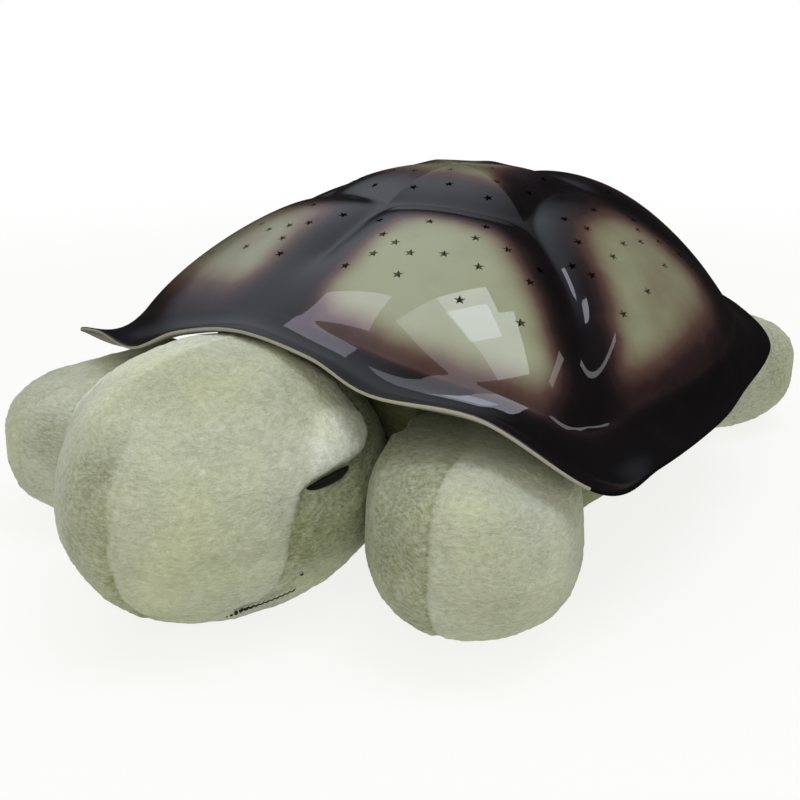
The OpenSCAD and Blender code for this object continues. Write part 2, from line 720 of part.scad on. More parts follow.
// Limb roots: each turns on an upright axis just outside the body, in a round pocket
flipper_root = [64, -77];
flipper_root_r = 22;
flipper_reach = [16, 27];    // from the root to the middle, left and right
foot_root = [35, 90.6];
foot_root_r = 16;
foot_reach = 36;
tail_root_r = 10;
tail_root_y = body_rear + 3.4;
flipper_flare = 15;  // length over which a flipper widens from its root
foot_flare = 21;

function root_at(side, root) = [side * root[0], root[1], 0];

// Plan of a limb's root: a half circle about the axis that flares out to the full width
function root_plan(r, w, l) = concat(
    [for (a = [0 : 15 : 180]) [r * cos(a), r * sin(a)]],
    [for (u = [0.2 : 0.2 : 1]) [-r - (w - r) * (1 - cos(180 * u)) / 2, -l * u]],
    [[-w, -3 * w], [w, -3 * w]],
    [for (u = [1 : -0.2 : 0.2]) [r + (w - r) * (1 - cos(180 * u)) / 2, -l * u]]);

// A limb along -Y from its root axis at the origin, its tip raised by lift degrees
module limb(w, l, h, reach, root_r, flare, lift) {
    mid = (h - limb_look[3]) / 2;
    intersection() {
        translate([0, -reach, mid]) rotate([-lift, 0, 0]) translate([0, 0, -mid])
            plump(w / 2, l / 2, h, limb_look, 24, 14);
        linear_extrude(2 * h) polygon(root_plan(root_r, w / 2 + 1, flare));
    }
}

module flipper(side, splay, lift) {
    color("#a9ad84") difference() {
        translate(root_at(side, flipper_root)) rotate([0, 0, side * splay])
            limb(flipper_w, flipper_l, flipper_h, flipper_reach[side > 0 ? 0 : 1], flipper_root_r,
                 flipper_flare, lift);
        at_head() translate([0, 0, -1]) linear_extrude(head_h + 2) polygon(head_outline(soft_gap));
    }
}

module foot(side) {
    color("#a9ad84") translate(root_at(side, foot_root)) rotate([0, 0, side * foot_splay])
        limb(foot_w, foot_l, foot_h, foot_reach, foot_root_r, foot_flare, 0);
}

module left_front_flipper() { flipper(1, left_splay, left_lift); }
module right_front_flipper() { flipper(-1, right_splay, right_lift); }
module left_rear_foot() { foot(1); }
module right_rear_foot() { foot(-1); }

tail_low = 12;
tail_high = 36;

module tail() {
    rows = [for (k = [0 : 8]) let (f = k / 8, r = sin(20 + 150 * pow(f, 0.8)))
        [for (i = [0 : 15]) let (a = 22.5 * i)
            [tail_w / 2 * r * sin(a), tail_root_y - 8 + f * tail_l,
             (tail_low + tail_high) / 2 - 6 * f + (tail_high - tail_low) / 2 * r * cos(a)]]];
    color("#a9ad84") loft(rows);
}

// Body: a bowl-shaped cushion round the lamp housing, its hem tucked up under the shell
body_plump = 0.8;
// Each row: share of the half width, share of the length, height
body_rows = [[0.66, 0.84, 0], [0.7, 0.92, 3.5], [0.78, 0.97, 11], [0.88, 1, 24], [0.97, 1, 38],
             [0.985, 0.985, 50]];

function body_ring(across, along, z) = [for (i = [0 : 39]) let (t = 9 * i)
    [across * body_w / 2 * bend(sin(t), body_plump),
     -along * (cos(t) > 0 ? body_front + 1 : body_rear) * bend(cos(t), body_plump), z]];
function hem_z(i) = spline(crease, 9 * i)[2] - 3;
hem_rows = [[0.975, 4], [0.95, 0]];
hem_wall_a = flange_a + seat_gap;
hem_wall_b = flange_b + seat_gap;

module body_blank() {
    low = [for (r = body_rows) body_ring(r[0], r[1], r[2])];
    high = [for (r = hem_rows) let (ring = body_ring(r[0], r[0], 0))
        [for (i = [0 : 39]) [ring[i][0], ring[i][1], hem_z(i) - r[1]]]];
    loft(concat(low, high), [0, 0, 58]);
}

open_half = door_half + 4.2;
open_front = door_front - 1.5;
open_rear = door_rear + 4.5;
recess_z = 5;
flap_half = open_half + flap_margin;
flap_front = open_front - 3;
flap_rear = open_rear + 5;
flap_z = 0.4;

module body_cushion() {
    color("#8f9570") difference() {
        body_blank();
        translate([0, 0, tray_z - seat_gap]) cylinder(r = well_r + seat_gap, h = 60);
        translate([0, 0, shelf_z]) linear_extrude(60) polygon(ellipse(hem_wall_a, hem_wall_b));
        translate([-open_half, open_front, -1]) cube([2 * open_half, open_rear - open_front, tray_z + 2]);
        translate([-flap_half - 0.5, flap_front - 0.5, -1])
            cube([2 * flap_half + 1, flap_rear - flap_front + 1, recess_z + 1]);
        translate([-50, -body_front - 20, -1]) cube([100, 20, 120]);
        for (s = [-1, 1]) {
            translate(root_at(s, flipper_root) - [0, 0, 1])
                cylinder(r = flipper_root_r + soft_gap, h = flipper_h + soft_gap + 1);
            translate(root_at(s, foot_root) - [0, 0, 1])
                cylinder(r = foot_root_r + soft_gap, h = foot_h + soft_gap + 1);
        }
        translate([0, tail_root_y, tail_low - 4])
            cylinder(r = tail_root_r + soft_gap, h = tail_high - tail_low + 8);
    }
}

// Belly flap, sewn at its rear edge, held by hook and loop strips at its sides
flap_hinge = [0, flap_rear - flap_t / 2, flap_z + flap_t / 2];
strip_t = (recess_z - flap_z - flap_t) / 2 - 0.05;
strip_w = flap_margin - 1.5;

module belly_flap() {
    color("#8f9570") {
        translate([-flap_half, flap_front, flap_z])
            cube([2 * flap_half, flap_hinge[1] - flap_front, flap_t]);
        translate([-flap_half, flap_hinge[1], flap_hinge[2]]) rotate([0, 90, 0])
            cylinder(r = flap_t / 2, h = 2 * flap_half);
    }
}

module strips(z) {
    for (s = [-1, 1]) translate([s * (open_half + flap_margin / 2 + 0.2) - strip_w / 2, open_front + 2, z])
        cube([strip_w, open_rear - open_front - 6, strip_t]);
}

module hook_strips() { color("#2b2d28") strips(flap_z + flap_t); }
module loop_strips() { color("#55593f") strips(recess_z - strip_t); }

shell();
button_panel();
base_tray();
light_deck();
battery_door();
battery_door_screw();
batteries();
contact_springs();
contact_plates();
main_board();
board_components();
led_post();
led_board();
led_blue();
led_green();
led_amber();
led_leads();
control_board();
tact_switches();
power_button();
blue_button();
green_button();
amber_button();
shell_screws();
deck_screws();
main_board_screws();
control_board_screws();
button_ribbon();
battery_lead_red();
battery_lead_black();
body_cushion();
head();
left_eye();
right_eye();
mouth_stitching();
left_front_flipper();
right_front_flipper();
left_rear_foot();
right_rear_foot();
tail();
belly_flap();
hook_strips();
loop_strips();
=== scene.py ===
import math

import bpy
import numpy as np
from mathutils import Matrix, Vector
from mathutils.bvhtree import BVHTree


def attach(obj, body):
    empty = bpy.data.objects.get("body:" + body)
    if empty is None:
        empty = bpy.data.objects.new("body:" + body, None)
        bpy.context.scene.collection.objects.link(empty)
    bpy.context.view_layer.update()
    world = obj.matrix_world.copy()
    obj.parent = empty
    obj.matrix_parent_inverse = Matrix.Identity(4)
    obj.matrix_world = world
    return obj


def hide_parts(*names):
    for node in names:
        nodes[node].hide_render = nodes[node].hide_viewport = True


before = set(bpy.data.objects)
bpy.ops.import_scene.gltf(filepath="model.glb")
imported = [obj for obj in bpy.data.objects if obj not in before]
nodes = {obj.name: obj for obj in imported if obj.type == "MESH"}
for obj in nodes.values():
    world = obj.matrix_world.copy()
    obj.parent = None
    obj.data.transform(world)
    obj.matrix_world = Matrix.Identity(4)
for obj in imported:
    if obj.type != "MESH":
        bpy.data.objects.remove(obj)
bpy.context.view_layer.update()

# Stuffed turtle star light, dressed over its CAD frame. Sizes in the settings are in millimetres.
mm = 0.001
print("frame loaded:", len(nodes), "nodes")

# ------------------------------------------------ camera, floor and studio light

cameraSettings = {"azimuth": 38.3, "elevation": 19.7, "distance": 552.6, "target": (-72.6, 57.3, -1.6),
                  "focalLength": 49.29, "sensor": 36.0}


def placeCamera(settings):
    azimuth, elevation = math.radians(settings["azimuth"]), math.radians(settings["elevation"])
    back = Vector((math.sin(azimuth) * math.cos(elevation), -math.cos(azimuth) * math.cos(elevation),
                   math.sin(elevation)))
    side = Vector((math.cos(azimuth), math.sin(azimuth), 0))
    place = (Vector(settings["target"]) + back * settings["distance"]) * mm
    camera = bpy.data.objects.new("studioCamera", bpy.data.cameras.new("studioCamera"))
    camera.data.sensor_width = settings["sensor"]
    camera.data.lens = settings["focalLength"]
    camera.data.clip_start, camera.data.clip_end = 0.01, 60
    turn = Matrix((side, back.cross(side), back)).transposed().to_4x4()
    camera.matrix_world = Matrix.Translation(place) @ turn
    bpy.context.scene.collection.objects.link(camera)
    bpy.context.scene.camera = camera


def linearColour(code, scale=1.0, lift=0.0):
    # sRGB hex to the linear values that the shaders take, made darker or paler
    parts = [int(code[i:i + 2], 16) / 255 for i in (1, 3, 5)]
    linear = [p / 12.92 if p <= 0.04045 else ((p + 0.055) / 1.055) ** 2.4 for p in parts]
    return tuple(min(1, scale * p + lift) for p in linear) + (1.0,)


def fillInputs(tree, node, inputs):
    # an input is a number, a colour or another node's output
    for key, value in inputs.items():
        if isinstance(value, bpy.types.NodeSocket):
            tree.links.new(value, node.inputs[key])
        else:
            node.inputs[key].default_value = linearColour(value) if isinstance(value, str) else value


def addNode(tree, kind, inputs={}, output=0, stops=(), **settings):
    # one node with its settings, links and colour stops; returns the output that is wanted
    node = tree.nodes.new("ShaderNode" + kind)
    for name, value in settings.items():
        setattr(node, name, value)
    fillInputs(tree, node, inputs)
    for i, (place, code) in enumerate(stops):
        entry = node.color_ramp.elements[i] if i < 2 else node.color_ramp.elements.new(place)
        entry.position, entry.color = place, linearColour(code)
    return node.outputs[output] if node.outputs else node


floorSettings = {"radius": 1500, "solid": 300, "clear": 800, "colour": "#f7f7f5", "glow": 0.85, "light": 1.05}
# what the room gives soft surfaces, and the darker half and brighter half that gloss reflects
skySettings = {"fill": (0.54, 0.54, 0.53, 1.0), "bright": "#d9dfea", "dim": "#1a1818",
               "brightSide": (-0.55, 0.1, 0.83), "edge": 0.62}
# softboxes: middle, size across and along in metres, power in watts, tint and turn in degrees
lampSettings = {
    "bigSoftbox": {"middle": (0.584, 0.148, 1.5), "size": (0.655, 0.65), "turn": -24, "watts": 5.3,
                   "tint": "#eff2ff"},
    "softboxEnd": {"middle": (0.128, 0.217, 1.5), "size": (0.235, 0.405), "turn": -24, "watts": 1.19,
                   "tint": "#eff2ff"},
    "dimSoftbox": {"middle": (0.251, -0.305, 1.5), "size": (0.89, 0.45), "turn": -24, "watts": 2.2,
                   "tint": "#eff2ff"},
    "windowPane": {"middle": (0.27, 0.1, 1.49), "size": (0.3, 0.34), "turn": -24, "watts": 1.1,
                   "tint": "#dfe6ff"},
    "leftSoftbox": {"middle": (-0.7, -0.33, 1.5), "size": (0.56, 0.5), "watts": 2.1, "tint": "#eee6ff"},
    "stripLight": {"middle": (1.27, 1.12, 1.5), "size": (0.14, 0.72), "turn": 22, "watts": 0.6,
                   "tint": "#ffffff"},
    # lights the cloth and leaves the gloss alone
    "frontFill": {"middle": (0.5, -1.1, 0.9), "size": (1.0, 1.0), "watts": 6.8, "tint": "#fff9ec",
                  "aim": (0, 0, 0.04), "matte": True},
}


def buildStudio():
    floor = bpy.data.meshes.new("studioFloor")
    s, corners = floorSettings, 96
    r = s["radius"] * mm
    angles = np.linspace(0, 2 * math.pi, corners, endpoint=False)
    floor.from_pydata([(r * math.cos(a), r * math.sin(a), 0) for a in angles], [], [list(range(corners))])
    floorPiece = bpy.data.objects.new("studioFloor", floor)
    bpy.context.scene.collection.objects.link(floorPiece)
    # white light table, mostly lit from below, that fades into the white room
    paint = bpy.data.materials.new("whiteLightTable")
    paint.use_nodes = True
    tree = paint.node_tree
    tree.nodes.clear()
    top = addNode(tree, "BsdfDiffuse", {"Color": s["colour"]})
    glow = addNode(tree, "Emission", {"Color": s["colour"], "Strength": s["light"]})
    lit = addNode(tree, "MixShader", {0: s["glow"], 1: top, 2: glow})
    place = addNode(tree, "TexCoord", {}, "Object")
    far = addNode(tree, "VectorMath", {0: place}, "Value", operation="LENGTH")
    fade = addNode(tree, "MapRange", {"Value": far, "From Min": s["solid"] * mm, "From Max": s["clear"] * mm},
                   interpolation_type="SMOOTHSTEP")
    clear = addNode(tree, "BsdfTransparent")
    both = addNode(tree, "MixShader", {0: fade, 1: lit, 2: clear})
    addNode(tree, "OutputMaterial", {"Surface": both})
    floor.materials.append(paint)
    floorPiece.visible_glossy = False

    world = bpy.data.worlds.new("studioAir")
    world.use_nodes = True
    tree = world.node_tree
    tree.nodes.clear()
    s = skySettings
    where = addNode(tree, "TexCoord", {}, "Generated")
    toward = addNode(tree, "VectorMath", {0: where, 1: s["brightSide"]}, "Value", operation="DOT_PRODUCT")
    share = addNode(tree, "MapRange", {"Value": toward, "From Min": s["edge"], "From Max": 1.0},
                    interpolation_type="SMOOTHSTEP")
    wall = addNode(tree, "Mix", {0: share, 6: s["dim"], 7: s["bright"]}, 2, data_type="RGBA")
    glossy = addNode(tree, "LightPath", {}, "Is Glossy Ray")
    gloss = addNode(tree, "Mix", {0: glossy, 6: s["fill"], 7: wall}, 2, data_type="RGBA")
    straight = addNode(tree, "LightPath", {}, "Is Camera Ray")
    seen = addNode(tree, "Mix", {0: straight, 6: gloss, 7: (1, 1, 1, 1)}, 2, data_type="RGBA")
    addNode(tree, "OutputWorld", {"Surface": addNode(tree, "Background", {"Color": seen})})
    bpy.context.scene.world = world

    for name, s in lampSettings.items():
        lamp = bpy.data.lights.new(name, "AREA")
        lamp.shape, (lamp.size, lamp.size_y) = "RECTANGLE", s["size"]
        lamp.energy, lamp.color = s["watts"], linearColour(s["tint"])[:3]
        piece = bpy.data.objects.new(name, lamp)
        piece.location = s["middle"]
        piece.rotation_euler = (0, 0, math.radians(s.get("turn", 0)))
        if "aim" in s:
            line = Vector(s["aim"]) - Vector(s["middle"])
            piece.rotation_euler = line.to_track_quat("-Z", "Y").to_euler()
        piece.visible_camera = False
        piece.visible_glossy = not s.get("matte", False)
        bpy.context.scene.collection.objects.link(piece)
    bpy.context.scene.view_settings.view_transform = "Standard"


placeCamera(cameraSettings)
buildStudio()
print("studio ready")

# ------------------------------------------------ meshes from points

def makeMesh(name, points, faces, materials, slots=None):
    mesh = bpy.data.meshes.new(name)
    mesh.from_pydata(np.asarray(points, float).tolist(), [], faces)
    for material in materials:
        mesh.materials.append(material)
    if slots is not None:
        mesh.polygons.foreach_set("material_index", np.asarray(slots, np.int32))
    mesh.polygons.foreach_set("use_smooth", np.ones(len(mesh.polygons), bool))
    mesh.update()
    piece = bpy.data.objects.new(name, mesh)
    bpy.context.scene.collection.objects.link(piece)
    return piece


def setNumbers(piece, name, values):
    attribute = piece.data.attributes.get(name) or piece.data.attributes.new(name, "FLOAT", "POINT")
    attribute.data.foreach_set("value", np.asarray(values, np.float32))


def readVectors(items, name):
    flat = np.empty(len(items) * 3, np.float32)
    items.foreach_get(name, flat)
    return flat.reshape(-1, 3).astype(float)


def cutAway(piece, points, faces, material):
    # takes a closed block out of a piece; its walls get the material
    block = makeMesh("cutter", np.asarray(points) * mm, faces, [material])
    cut = piece.modifiers.new("cut", "BOOLEAN")
    cut.operation, cut.object, cut.solver = "DIFFERENCE", block, "MANIFOLD"
    graph = bpy.context.evaluated_depsgraph_get()
    done = bpy.data.meshes.new_from_object(piece.evaluated_get(graph))
    piece.modifiers.clear()
    old, piece.data = piece.data, done
    mesh = block.data
    bpy.data.objects.remove(block)
    for unused in (old, mesh):
        bpy.data.meshes.remove(unused)


def unit(v):
    return v / np.maximum(np.linalg.norm(v, axis=-1, keepdims=True), 1e-9)


def smoothStep(low, high, x):
    t = np.clip((x - low) / (high - low), 0, 1)
    return t * t * (3 - 2 * t)


def hump(x, width):
    # 1 at zero, falling off softly to both sides
    return np.exp(-(x / width) ** 2)


def spin(x, y, degrees):
    a = math.radians(degrees)
    return x * math.cos(a) - y * math.sin(a), x * math.sin(a) + y * math.cos(a)


def sideOf(points):
    # degrees round from the front
    return np.degrees(np.arctan2(points[:, 0], -points[:, 1]))


def around(n):
    return np.linspace(0, 2 * math.pi, n, endpoint=False)


def tubeFaces(rings, n, first=0):
    # squares between rings of n points, then a cap on each end
    starts = [(first + j * n + i, first + j * n + (i + 1) % n) for j in range(rings - 1) for i in range(n)]
    last = first + (rings - 1) * n
    return [(a, b, b + n, a + n) for a, b in starts] + [tuple(range(first + n - 1, first - 1, -1)),
                                                        tuple(range(last, last + n))]


def meshNormals(points, quads):
    a, b, c, d = points[quads.T]
    flat, out = unit(np.cross(c - a, d - b)), np.zeros_like(points)
    for k in range(4):
        np.add.at(out, quads[:, k], flat)
    return unit(out)


def noise(points, seed):
    # gradient noise from about -1 to 1 on a unit lattice, the same every run
    cell = np.floor(points).astype(np.int64)
    part = points - cell
    fade = part ** 3 * (part * (part * 6 - 15) + 10)
    total = np.zeros(len(points))
    for corner in np.ndindex(2, 2, 2):
        corner = np.array(corner)
        c = cell + corner
        h = (c[:, 0] * 73856093) ^ (c[:, 1] * 19349663) ^ (c[:, 2] * 83492791) ^ (seed * 7919 + 17)
        h = ((h & 0x7fffffff) * 1274126177) & 0x7fffffff
        h = ((h ^ (h >> 15)) * 668265263) & 0x7fffffff
        turn, rise = (h >> 5 & 1023) / 512 * math.pi, (h >> 16 & 1023) / 511.5 - 1
        flat = np.sqrt(np.maximum(0, 1 - rise ** 2))
        slope = np.stack([flat * np.cos(turn), flat * np.sin(turn), rise], 1)
        weight = np.prod(np.where(corner, fade, 1 - fade), axis=1)
        total += weight * ((part - corner) * slope).sum(1)
    return total * 1.7


# ------------------------------------------------ shell: airbrushed, clear-coated ABS

shellSettings = {
    # right half of the crease and the rim from head to tail, every 15 degrees
    "crease": [(0, -103, 92), (28, -104, 88), (57, -100, 82), (86, -87, 73), (101, -70, 64), (105, -40, 66),
               (108, -9, 68), (106, 22, 71), (95, 52, 75), (75, 75, 77), (51, 88, 79), (26, 95, 80),
               (0, 97, 81)],
    "rim": [(0, -119, 87), (31, -118, 82), (54, -117, 76), (86, -106, 74), (119, -93, 56), (123, -63, 55),
            (121, -14, 54), (113, 26, 51), (106, 70, 58), (83, 92, 66), (54, 105, 71), (26, 113, 74),
            (0, 116, 75)],
    "middle": 2.5, "top": 125, "crownShare": 0.43, "grooveDepth": 6, "grooveWidth": 11, "swell": 3,
    "power": 2.1, "fuller": 1.3, "bow": 1.3, "brimSag": 3, "wall": 2, "rimWall": 1.4, "starRadius": 2,
    "starWaist": 0.42, "starReach": 5, "paintedLip": 36, "sameWay": 0.72,
    "columnsPerScute": 48, "crownRows": 20, "scuteRows": 50, "brimRows": 16,
}
# airbrush, in millimetres from a groove: where the dark is full and where it ends, on the crown and on a
# scute; the dark reaches further towards 120 and 300 degrees than towards 30 and 210, and there painted
# shade darkens the side scutes all over, where the light falls off
sprayMarksAndSideShade = {"crown": (7, 32), "scute": (3.5, 24), "drift": 7, "footBand": 17, "bandDrift": 1.7, "foot": 0.6,
              "footDrift": 0.03, "sideScuteShade": 0.045, "crownLight": 0.75, "creaseLight": 0.25, "creaseWidth": 0.22}
# star places: degrees from the scute's middle and share of the way down to the crease
scuteStars = [(6, 0.68), (17, 0.7), (10, 0.48), (2, 0.46), (-7, 0.64), (-6, 0.5), (-11, 0.45), (10, 0.3),
              (18, 0.32), (25, 0.38), (21, 0.48), (14, 0.18), (-4, 0.24), (-16, 0.4), (-15, 0.55),
              (-20, 0.66), (-22, 0.26)]
crownStars = [(20, 0.3), (95, 0.35), (150, 0.25), (215, 0.4), (280, 0.3), (335, 0.45), (5, 0.75), (50, 0.8),
              (110, 0.78), (170, 0.72), (240, 0.8), (300, 0.76), (62, 0.55), (128, 0.6), (188, 0.55),
              (255, 0.58), (312, 0.52), (28, 0.66), (80, 0.85), (142, 0.84), (268, 0.9), (332, 0.82)]


def bothSides(half):
    keys = np.array(half, float)
    return np.vstack([keys, keys[-2:0:-1] * (-1, 1, 1)])


creaseKeys, rimKeys = bothSides(shellSettings["crease"]), bothSides(shellSettings["rim"])
# the thin brim hangs lower at the right front corner and springs up over the head's left
rimKeys[19:23] = [(-122, -63, 47), (-117, -94, 62), (-87, -108, 70), (-54, -119, 72.5)]
rimKeys[:3] = [(0, -119, 88.4), (31, -118, 85), (54, -117, 77.6)]


def smoothCurve(a, b, c, d, f):
    # Catmull-Rom step from b to c
    return 0.5 * (2 * b + (c - a) * f + (2 * a - 5 * b + 4 * c - d) * f ** 2
                  + (3 * b - a - 3 * c + d) * f ** 3)


def loopPoint(keys, turn):
    # smooth closed curve through the keys
    n = len(keys)
    u = np.asarray(turn, float) / 360 * n
    i = np.floor(u).astype(int)
    return smoothCurve(keys[(i - 1) % n], keys[i % n], keys[(i + 1) % n], keys[(i + 2) % n], (u - i)[:, None])


def crownEdge(turn):
    return shellSettings["crownShare"] * math.cos(math.radians(30)) / np.cos(np.radians(turn % 60 - 30))


def domePoint(turn, share):
    # point, outward direction and distance to the nearest groove at an angle and share of the radius
    s = shellSettings
    crease = loopPoint(creaseKeys, turn)
    middle = np.array([0, s["middle"]])
    arm = crease[:, :2] - middle
    radius, height = np.hypot(*arm.T), s["top"] - crease[:, 2]
    power = s["power"] + s["fuller"] * ((1 - np.cos(np.radians(turn))) / 2) ** 2
    aim = sideOf(arm)
    heading = np.radians(aim + ((turn - aim + 540) % 360 - 180) * (1 - share ** 4) * s["bow"])
    way = np.stack([np.sin(heading), -np.cos(heading)], 1)
    beside = np.minimum(turn % 60, 60 - turn % 60)
    toGroove = radius * share * np.sin(np.radians(beside))
    toCrown = (share - crownEdge(turn)) * radius
    # rounded where two grooves meet
    nearer = -4 * np.log(np.exp(-toGroove / 4) + np.exp(-np.maximum(toCrown, 0) / 4))
    away = np.where(share < crownEdge(turn), -toCrown * 0.9, np.maximum(0, nearer))
    steep = np.where(share > 0, power * height * np.maximum(share, 1e-6) ** (power - 1) / radius, 0)
    out = unit(np.stack([steep * way[:, 0], steep * way[:, 1], np.ones(len(share))], 1))
    soft = 2.2 + 7 * smoothStep(0.72, 0.93, share)  # the groove's fold opens out above the crease
    dip = s["grooveDepth"] * np.exp(-np.hypot(away, soft) / s["grooveWidth"])
    flat = share[:, None] * radius[:, None] * way + middle
    point = np.column_stack([flat, s["top"] - height * share ** power])
    return point + ((s["swell"] - dip) * (1 - share ** 10))[:, None] * out, out, away


def brimPoint(turn, share):
    crease, rim = loopPoint(creaseKeys, turn), loopPoint(rimKeys, turn)
    return crease + (rim - crease) * share[:, None] - np.outer(np.sin(math.pi * share),
                                                               [0, 0, shellSettings["brimSag"]])


def shellSkin():
    # rows of points from the crown to the rim, with the paint's darkness and the share of brim
    s, paint = shellSettings, sprayMarksAndSideShade
    u = np.linspace(0, 1, s["columnsPerScute"], endpoint=False)
    lobe = 60 * (u - 0.72 * np.sin(2 * math.pi * u) / (2 * math.pi))  # closer columns beside the grooves
    turn = np.concatenate([60 * k + lobe for k in range(6)])
    n = len(turn)
    rows, shades, brims = [], [], []
    crown = 1 - (1 - np.linspace(0.02, 1, s["crownRows"])) ** 1.3
    g = np.linspace(0, 1, s["scuteRows"] + 1)[1:]
    scute = g - 0.6 * np.sin(2 * math.pi * g) / (2 * math.pi)
    edge = crownEdge(turn)
    drift = paint["drift"] * (1 - np.cos(2 * np.radians(turn - 30))) / 2
    (crownDark, crownLight), (scuteDark, scuteLight) = paint["crown"], paint["scute"]
    for share in [f * edge for f in crown] + [edge + (1 - edge) * f for f in scute]:
        point, out, away = domePoint(turn, share)
        rows.append(point)
        down = np.linalg.norm(loopPoint(creaseKeys, turn) - point, axis=1)
        inner = share < edge - 1e-9
        dark, light = np.where(inner, crownDark, scuteDark), np.where(inner, crownLight, scuteLight + drift)
        band = 1 - smoothStep(dark, light, away)
        foot = 1 - smoothStep(0, paint["footBand"] + paint["bandDrift"] * drift, down)
        foot = (paint["foot"] + paint["footDrift"] * drift) * foot
        # painted shade on the side scutes, where the light falls off
        sideScuteShade = paint["sideScuteShade"] * drift * ~inner  # the side scutes are a little darker all over
        shades.append(1 - (1 - band) * (1 - foot) * np.where(inner, paint["crownLight"], 1) * (1 - sideScuteShade))
        brims.append(np.zeros(n))
    h = np.linspace(0, 1, s["brimRows"] + 1)[1:]
    for share in 1 - (1 - h) ** 1.15:
        rows.append(brimPoint(turn, np.full(n, share)))
        light = paint["creaseLight"] * (1 - smoothStep(0, paint["creaseWidth"], share))
        shades.append(np.full(n, 1 - light))
        brims.append(np.full(n, share))
    return np.array(rows), np.array(shades), np.array(brims)


def gridNormals(rows):
    along = np.roll(rows, -1, 1) - np.roll(rows, 1, 1)
    down = np.gradient(rows, axis=0)
    return unit(np.cross(along, -down))


def buildShell(paint, bare):
    s = shellSettings
    rows, shades, brims = shellSkin()
    creaseRow = s["crownRows"] + s["scuteRows"] - 1
    for _ in range(3):  # round the crease a little, as a moulding is
        part = rows[creaseRow - 3:creaseRow + 4]
        part[1:-1] = (part[:-2] + 2 * part[1:-1] + part[2:]) / 4
    normals = gridNormals(rows)
    wall = s["wall"]
    outward = unit(rows[-1] - rows[-2])
    lip = [rows[-1] + outward * a - normals[-1] * b * s["rimWall"] for a, b in
           [(0.16, 0.06), (0.3, 0.25), (0.33, 0.5), (0.3, 0.75), (0.16, 0.94)]]
    thin = wall + (s["rimWall"] - wall) * brims[::-1, :, None] ** 2
    under = rows[::-1] - normals[::-1] * thin
    allRows = np.concatenate([rows, lip, under])
    m, n = allRows.shape[:2]
    top = domePoint(np.zeros(1), np.zeros(1))[0][0]
    points = np.concatenate([allRows.reshape(-1, 3), [top, top - [0, 0, wall]]])
    turn = 360 * np.arange(n) / n
    painted = np.abs(np.abs(turn - 180) - 90) < s["paintedLip"]  # the lip is painted dark along both sides
    pairs = [(i, (i + 1) % n) for i in range(n)]
    faces = [(j * n + i, (j + 1) * n + i, (j + 1) * n + k, j * n + k) for j in range(m - 1) for i, k in pairs]
    slots = [0 if j < len(rows) + 1 or (painted[i] and j < len(rows) + 4) else 1
             for j in range(m - 1) for i in range(n)]
    for i, k in pairs:
        faces += [(m * n, i, k), (m * n + 1, (m - 1) * n + k, (m - 1) * n + i)]
    slots += [0, 1] * n
    shade = np.concatenate([shades.ravel(), np.ones(len(lip) * n), shades[::-1].ravel(), [0.1, 0.1]])
    brim = np.concatenate([brims.ravel(), np.ones(len(lip) * n), brims[::-1].ravel(), [0, 0]])
    skin = makeMesh("pierced_shell", points * mm, faces, [paint, bare], slots)
    setNumbers(skin, "shade", shade)
    setNumbers(skin, "brim", brim)
    return skin, points * mm, faces, shade, brim


def starCutter():
    # a five-pointed prism through the wall at every star place
    s = shellSettings
    places = []
    for k in range(6):
        for turn, share in scuteStars:
            t = (60 * k + 30 + (turn if k % 2 == 0 else -turn)) % 360
            if not (abs(t - 180) < 34 and share > 0.2):  # the button panel takes the rear ones' place
                edge = crownEdge(np.array([t]))[0]
                places.append((t, edge + (1 - edge) * share))
    places += [(t, share * crownEdge(np.array([t]))[0]) for t, share in crownStars]
    turn, share = np.array(places, float).T
    centre, out, _ = domePoint(turn, share)
    points, faces = [], []
    corners = range(10)
    star = [((1, s["starWaist"])[i % 2] * s["starRadius"], math.radians(36 * i)) for i in corners]
    for c, z in zip(centre, out):
        downhill = unit(np.array([z[0] * z[2], z[1] * z[2], z[2] ** 2 - 1]))
        across = np.cross(z, downhill)
        first = len(points)
        for h in (-s["starReach"], s["starReach"]):
            points += [c - r * math.cos(a) * downhill + r * math.sin(a) * across + h * z for r, a in star]
        faces += [(first + i, first + 10 + i, first + 10 + (i + 1) % 10, first + (i + 1) % 10)
                  for i in corners]
        faces += [tuple(first + i for i in corners), tuple(first + 19 - i for i in corners)]
    return points, faces


panelSettings = {"tilt": 41, "middle": (0, 77.155, 107), "length": 60, "width": 15, "depth": 6, "round": 3,
                 "gap": 0.1}


def onPanel(points):
    x, y, z = np.asarray(points, float).T
    return np.column_stack([x, *spin(y, z, -panelSettings["tilt"])]) + panelSettings["middle"]


def prism(outline, low, high):
    return [(x, y, h) for h in (low, high) for x, y in outline], tubeFaces(2, len(outline))


def roundedOutline(length, width, radius, steps=8):
    out = []
    for cx, cy, start in ((1, 1, 0), (-1, 1, 90), (-1, -1, 180), (1, -1, 270)):
        for k in range(steps + 1):
            a = math.radians(start + 90 * k / steps)
            out.append((cx * (length / 2 - radius) + radius * math.cos(a),
                        cy * (width / 2 - radius) + radius * math.sin(a)))
    return out


